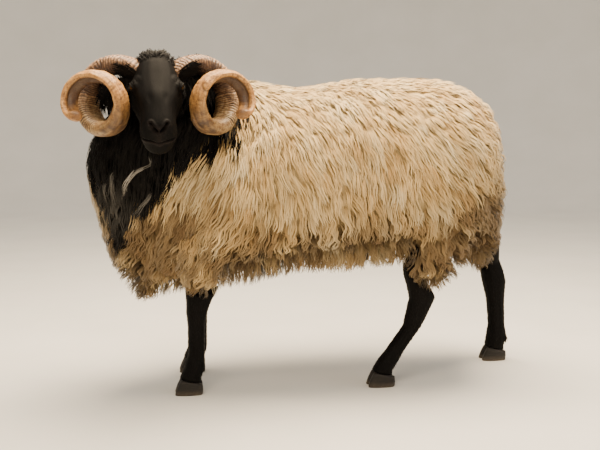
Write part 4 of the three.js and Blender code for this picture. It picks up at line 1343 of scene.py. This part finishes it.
def maneAim(rows, ns):
    q = toHead(rows)
    _, cheek, chin = longHair(q)
    side = np.sign(q[:, 1]) * mix(0.25, 1.0, cheek)
    local = np.stack([mix(-0.7, -0.4, cheek), side, mix(mix(0.4, -0.5, cheek), -1.0, chin)], 1)
    return local @ headAxes + ns * 0.4


def maneSize(rows, ns):
    q = toHead(rows)
    crown, cheek, chin = longHair(q)
    size = np.maximum.reduce([crown * 25, cheek * np.where(q[:, 1] < 0, 84, 58), chin * 26])
    return size * rng.uniform(0.7, 1.2, len(rows)), np.maximum.reduce([crown * 0.6, cheek * 0.5, chin * 0.3])


def maneAllowed(rows, ns):
    q = toHead(rows)
    return (np.maximum.reduce(longHair(q)) > 0.4) & (q[:, 0] > -110)


def steady(way):  # the same way for all
    return lambda rows, ns: np.repeat(np.array([way], float), len(rows), 0)


def between(low, high, lift):  # length in mm, and how steeply the tuft stands
    return lambda rows, ns: (rng.uniform(low, high, len(rows)), np.full(len(rows), lift))


def legSize(rows, ns):  # longer behind the pastern
    size = mix(9.0, 14.0, ease(rows[:, 2], 90, 60) * ease(ns[:, 0], 0.0, 0.8))
    return size * rng.uniform(0.7, 1.2, len(rows)), np.full(len(rows), 0.16)


def earSides(rows, ns):
    return np.abs(ns[:, 2]) < 0.55


shortLook = {
    "mane": {"strands": 4, "steps": 6, "spread": 5.0, "tipSpread": 0.6, "width": 2.4, "curl": 1.6,
             "wave": 34.0, "stray": 2.5, "shortest": 0.6, "droop": 0.2},
    "face": {"strands": 1, "steps": 4, "spread": 0.3, "tipSpread": 1.0, "width": 1.6, "curl": 0.0,
             "wave": 30.0, "stray": 0.6},
    "fringe": {"strands": 3, "steps": 5, "spread": 3.5, "tipSpread": 0.8, "width": 2.0, "curl": 0.6,
               "wave": 30.0, "stray": 1.5},
    "leg": {"strands": 1, "steps": 4, "spread": 0.3, "tipSpread": 1.0, "width": 2.2, "curl": 0.0,
            "wave": 30.0, "stray": 0.6},
}
shortFaces = shortCoat("faceHair", skull, 4.6, "head", faceAim, faceSize, shortLook["face"], faceAllowed)
shortFaces += shortCoat("maneHair", skull, 7.0, "head", maneAim, maneSize, shortLook["mane"], maneAllowed)
for (word, sign), ear in zip(bothSides, ears):
    shortFaces += shortCoat("earHair_" + word, ear, 4.5, "head", steady(earAim(sign)),
                            between(6, 10, 0.2), shortLook["face"])
    # long hair off the ear's sides: a fringe that hangs below it, and a shorter one that stands above
    shortFaces += shortCoat("earFringe_" + word, ear, 5.6, "head", steady((-0.12, 0, -1)),
                            between(38, 68, 0.12), shortLook["fringe"], earSides)
    shortFaces += shortCoat("earTop_" + word, ear, 6.5, "head", steady((0, sign * -0.5, 1)),
                            between(12, 22, 0.12), shortLook["fringe"], earSides)
for leg, name in zip(legs, limbs):
    shortFaces += shortCoat(name + "_hair", leg, 6.0, name, steady((0.12, 0, -1)), legSize,
                            shortLook["leg"], lambda rows, ns: ns[:, 2] > -0.7)

# hair of the crown laid over the root of each horn, most of it below and before
fringe = {"from": -57, "to": -24, "reach": (10, 34), "count": 300, "steps": 5, "lift": (0.6, 5.0)}
for (_, angle, surface, facing, d), (word, _) in zip(hornParts, bothSides):
    starts = np.nonzero((angle > fringe["from"]) & (angle < fringe["to"]))[0]
    chance = ease(0.45 - d, 0, 1.2)
    count, steps = fringe["count"], fringe["steps"]
    ring, side = rng.choice(starts, count), rng.choice(len(d), count, p=chance / chance.sum())
    ahead = (np.linspace(0, 1, steps)[None] * rng.uniform(*fringe["reach"], count)[:, None]).astype(int)
    along = ring[:, None] + ahead
    across = side[:, None] + (ahead * rng.uniform(-0.12, 0.05, (count, 1))).astype(int)
    across = across % len(d)
    least, most = fringe["lift"]
    raised = least + most * rng.uniform(0, 1, (count, 1)) * np.linspace(0.4, 1, steps)
    laid = surface[along, across] + facing[along, across] * raised[:, :, None]
    shortFaces += makeLocks("hornFringe_" + word, laid, facing[along, across], "head", shortLook["fringe"],
                            {"pale": 0}, blackHair)
print("short coat:", shortFaces, "faces")

for spare in [outer, skull] + ears + legs:
    bpy.data.objects.remove(spare)

# stage, light and camera
# a round sweep of paper: flat floor, then a curve up to a wall, in metres
stage = {"flat": 4.5, "sweep": 2.0, "wall": 5.0, "sides": 96, "hole": 0.02, "under": 0.0005,
         "sky": "#F4F2EE", "skyStrength": 0.74}


def floorMaterial():
    # Seamless matt paper, rolled out. Only the faintest mottle.
    add, finish = newMaterial("seamless matt paper", Roughness=0.9, IOR=1.45, Specular_IOR_Level=0.2)
    coords = add("TexCoord", output="Object")
    cloud = add("TexNoise", {"Vector": coords, "Scale": 3.0, "Detail": 4.0}, "Fac")
    return finish(add("ValToRGB", {0: cloud}, stops=[(0.3, "#E6E3DC"), (0.7, "#ECE9E3")]))


rise = np.linspace(0, math.pi / 2, 13)
flat, sweep = stage["flat"], stage["sweep"]
profile = [(stage["hole"], 0), *zip(flat + sweep * np.sin(rise), sweep * (1 - np.cos(rise)))]
profile.append((profile[-1][0], stage["wall"]))
bowl = [outline((0, 0, z - stage["under"]), (r, 0, 0), (0, r, 0), stage["sides"]) for r, z in profile]
points, quads, tris = loft(bowl)
floor = makeObject("floor", makeMesh("floor", points[:-1], quads, tris[:stage["sides"]]), [floorMaterial()])

world = bpy.data.worlds.new("studio")
world.use_nodes = True
background = world.node_tree.nodes["Background"]
background.inputs["Color"].default_value = linear(stage["sky"])
background.inputs["Strength"].default_value = stage["skyStrength"]
bpy.context.scene.world = world

lights = {
    "keySoftbox": {"at": (-0.55, -1.9, 2.3), "to": (0, 0, 0.5), "size": (1.6, 1.2), "power": 44,
                   "colour": "#FFE9C8"},
    "overhead": {"at": (0.15, 0.15, 2.6), "to": (0.1, 0.05, 0.5), "size": (2.0, 1.2), "power": 235,
                 "colour": "#FFE7C4"},
    "fill": {"at": (2.4, -1.6, 1.1), "to": (0, 0, 0.5), "size": (1.4, 1.4), "power": 10, "colour": "#F2F4FF"},
}
for name, light in lights.items():
    lamp = bpy.data.lights.new(name, "AREA")
    lamp.shape = "RECTANGLE"
    lamp.size, lamp.size_y = light["size"]
    lamp.energy = light["power"]
    lamp.color = linear(light["colour"])[:3]
    lampObject = bpy.data.objects.new(name, lamp)
    lampObject.location = light["at"]
    lampWay = Vector(light["to"]) - Vector(light["at"])
    lampObject.rotation_euler = lampWay.to_track_quat("-Z", "Y").to_euler()
    bpy.context.scene.collection.objects.link(lampObject)

# "at" in rows, mm; angles in degrees; lens in mm
view = {"at": (-27.4, -2390.5, 718), "azimuth": -8, "down": 7, "lens": 54, "sensor": 36}
azimuth, tilt = math.radians(view["azimuth"]), math.radians(view["down"])
back = Vector((math.sin(azimuth) * math.cos(tilt), -math.cos(azimuth) * math.cos(tilt), math.sin(tilt)))
camera = bpy.data.objects.new("camera", bpy.data.cameras.new("camera"))
camera.data.lens, camera.data.sensor_width = view["lens"], view["sensor"]
camera.location = toFrame(view["at"])
camera.rotation_euler = (-back).to_track_quat("-Z", "Y").to_euler()
bpy.context.scene.collection.objects.link(camera)
bpy.context.scene.camera = camera
print("stage set")
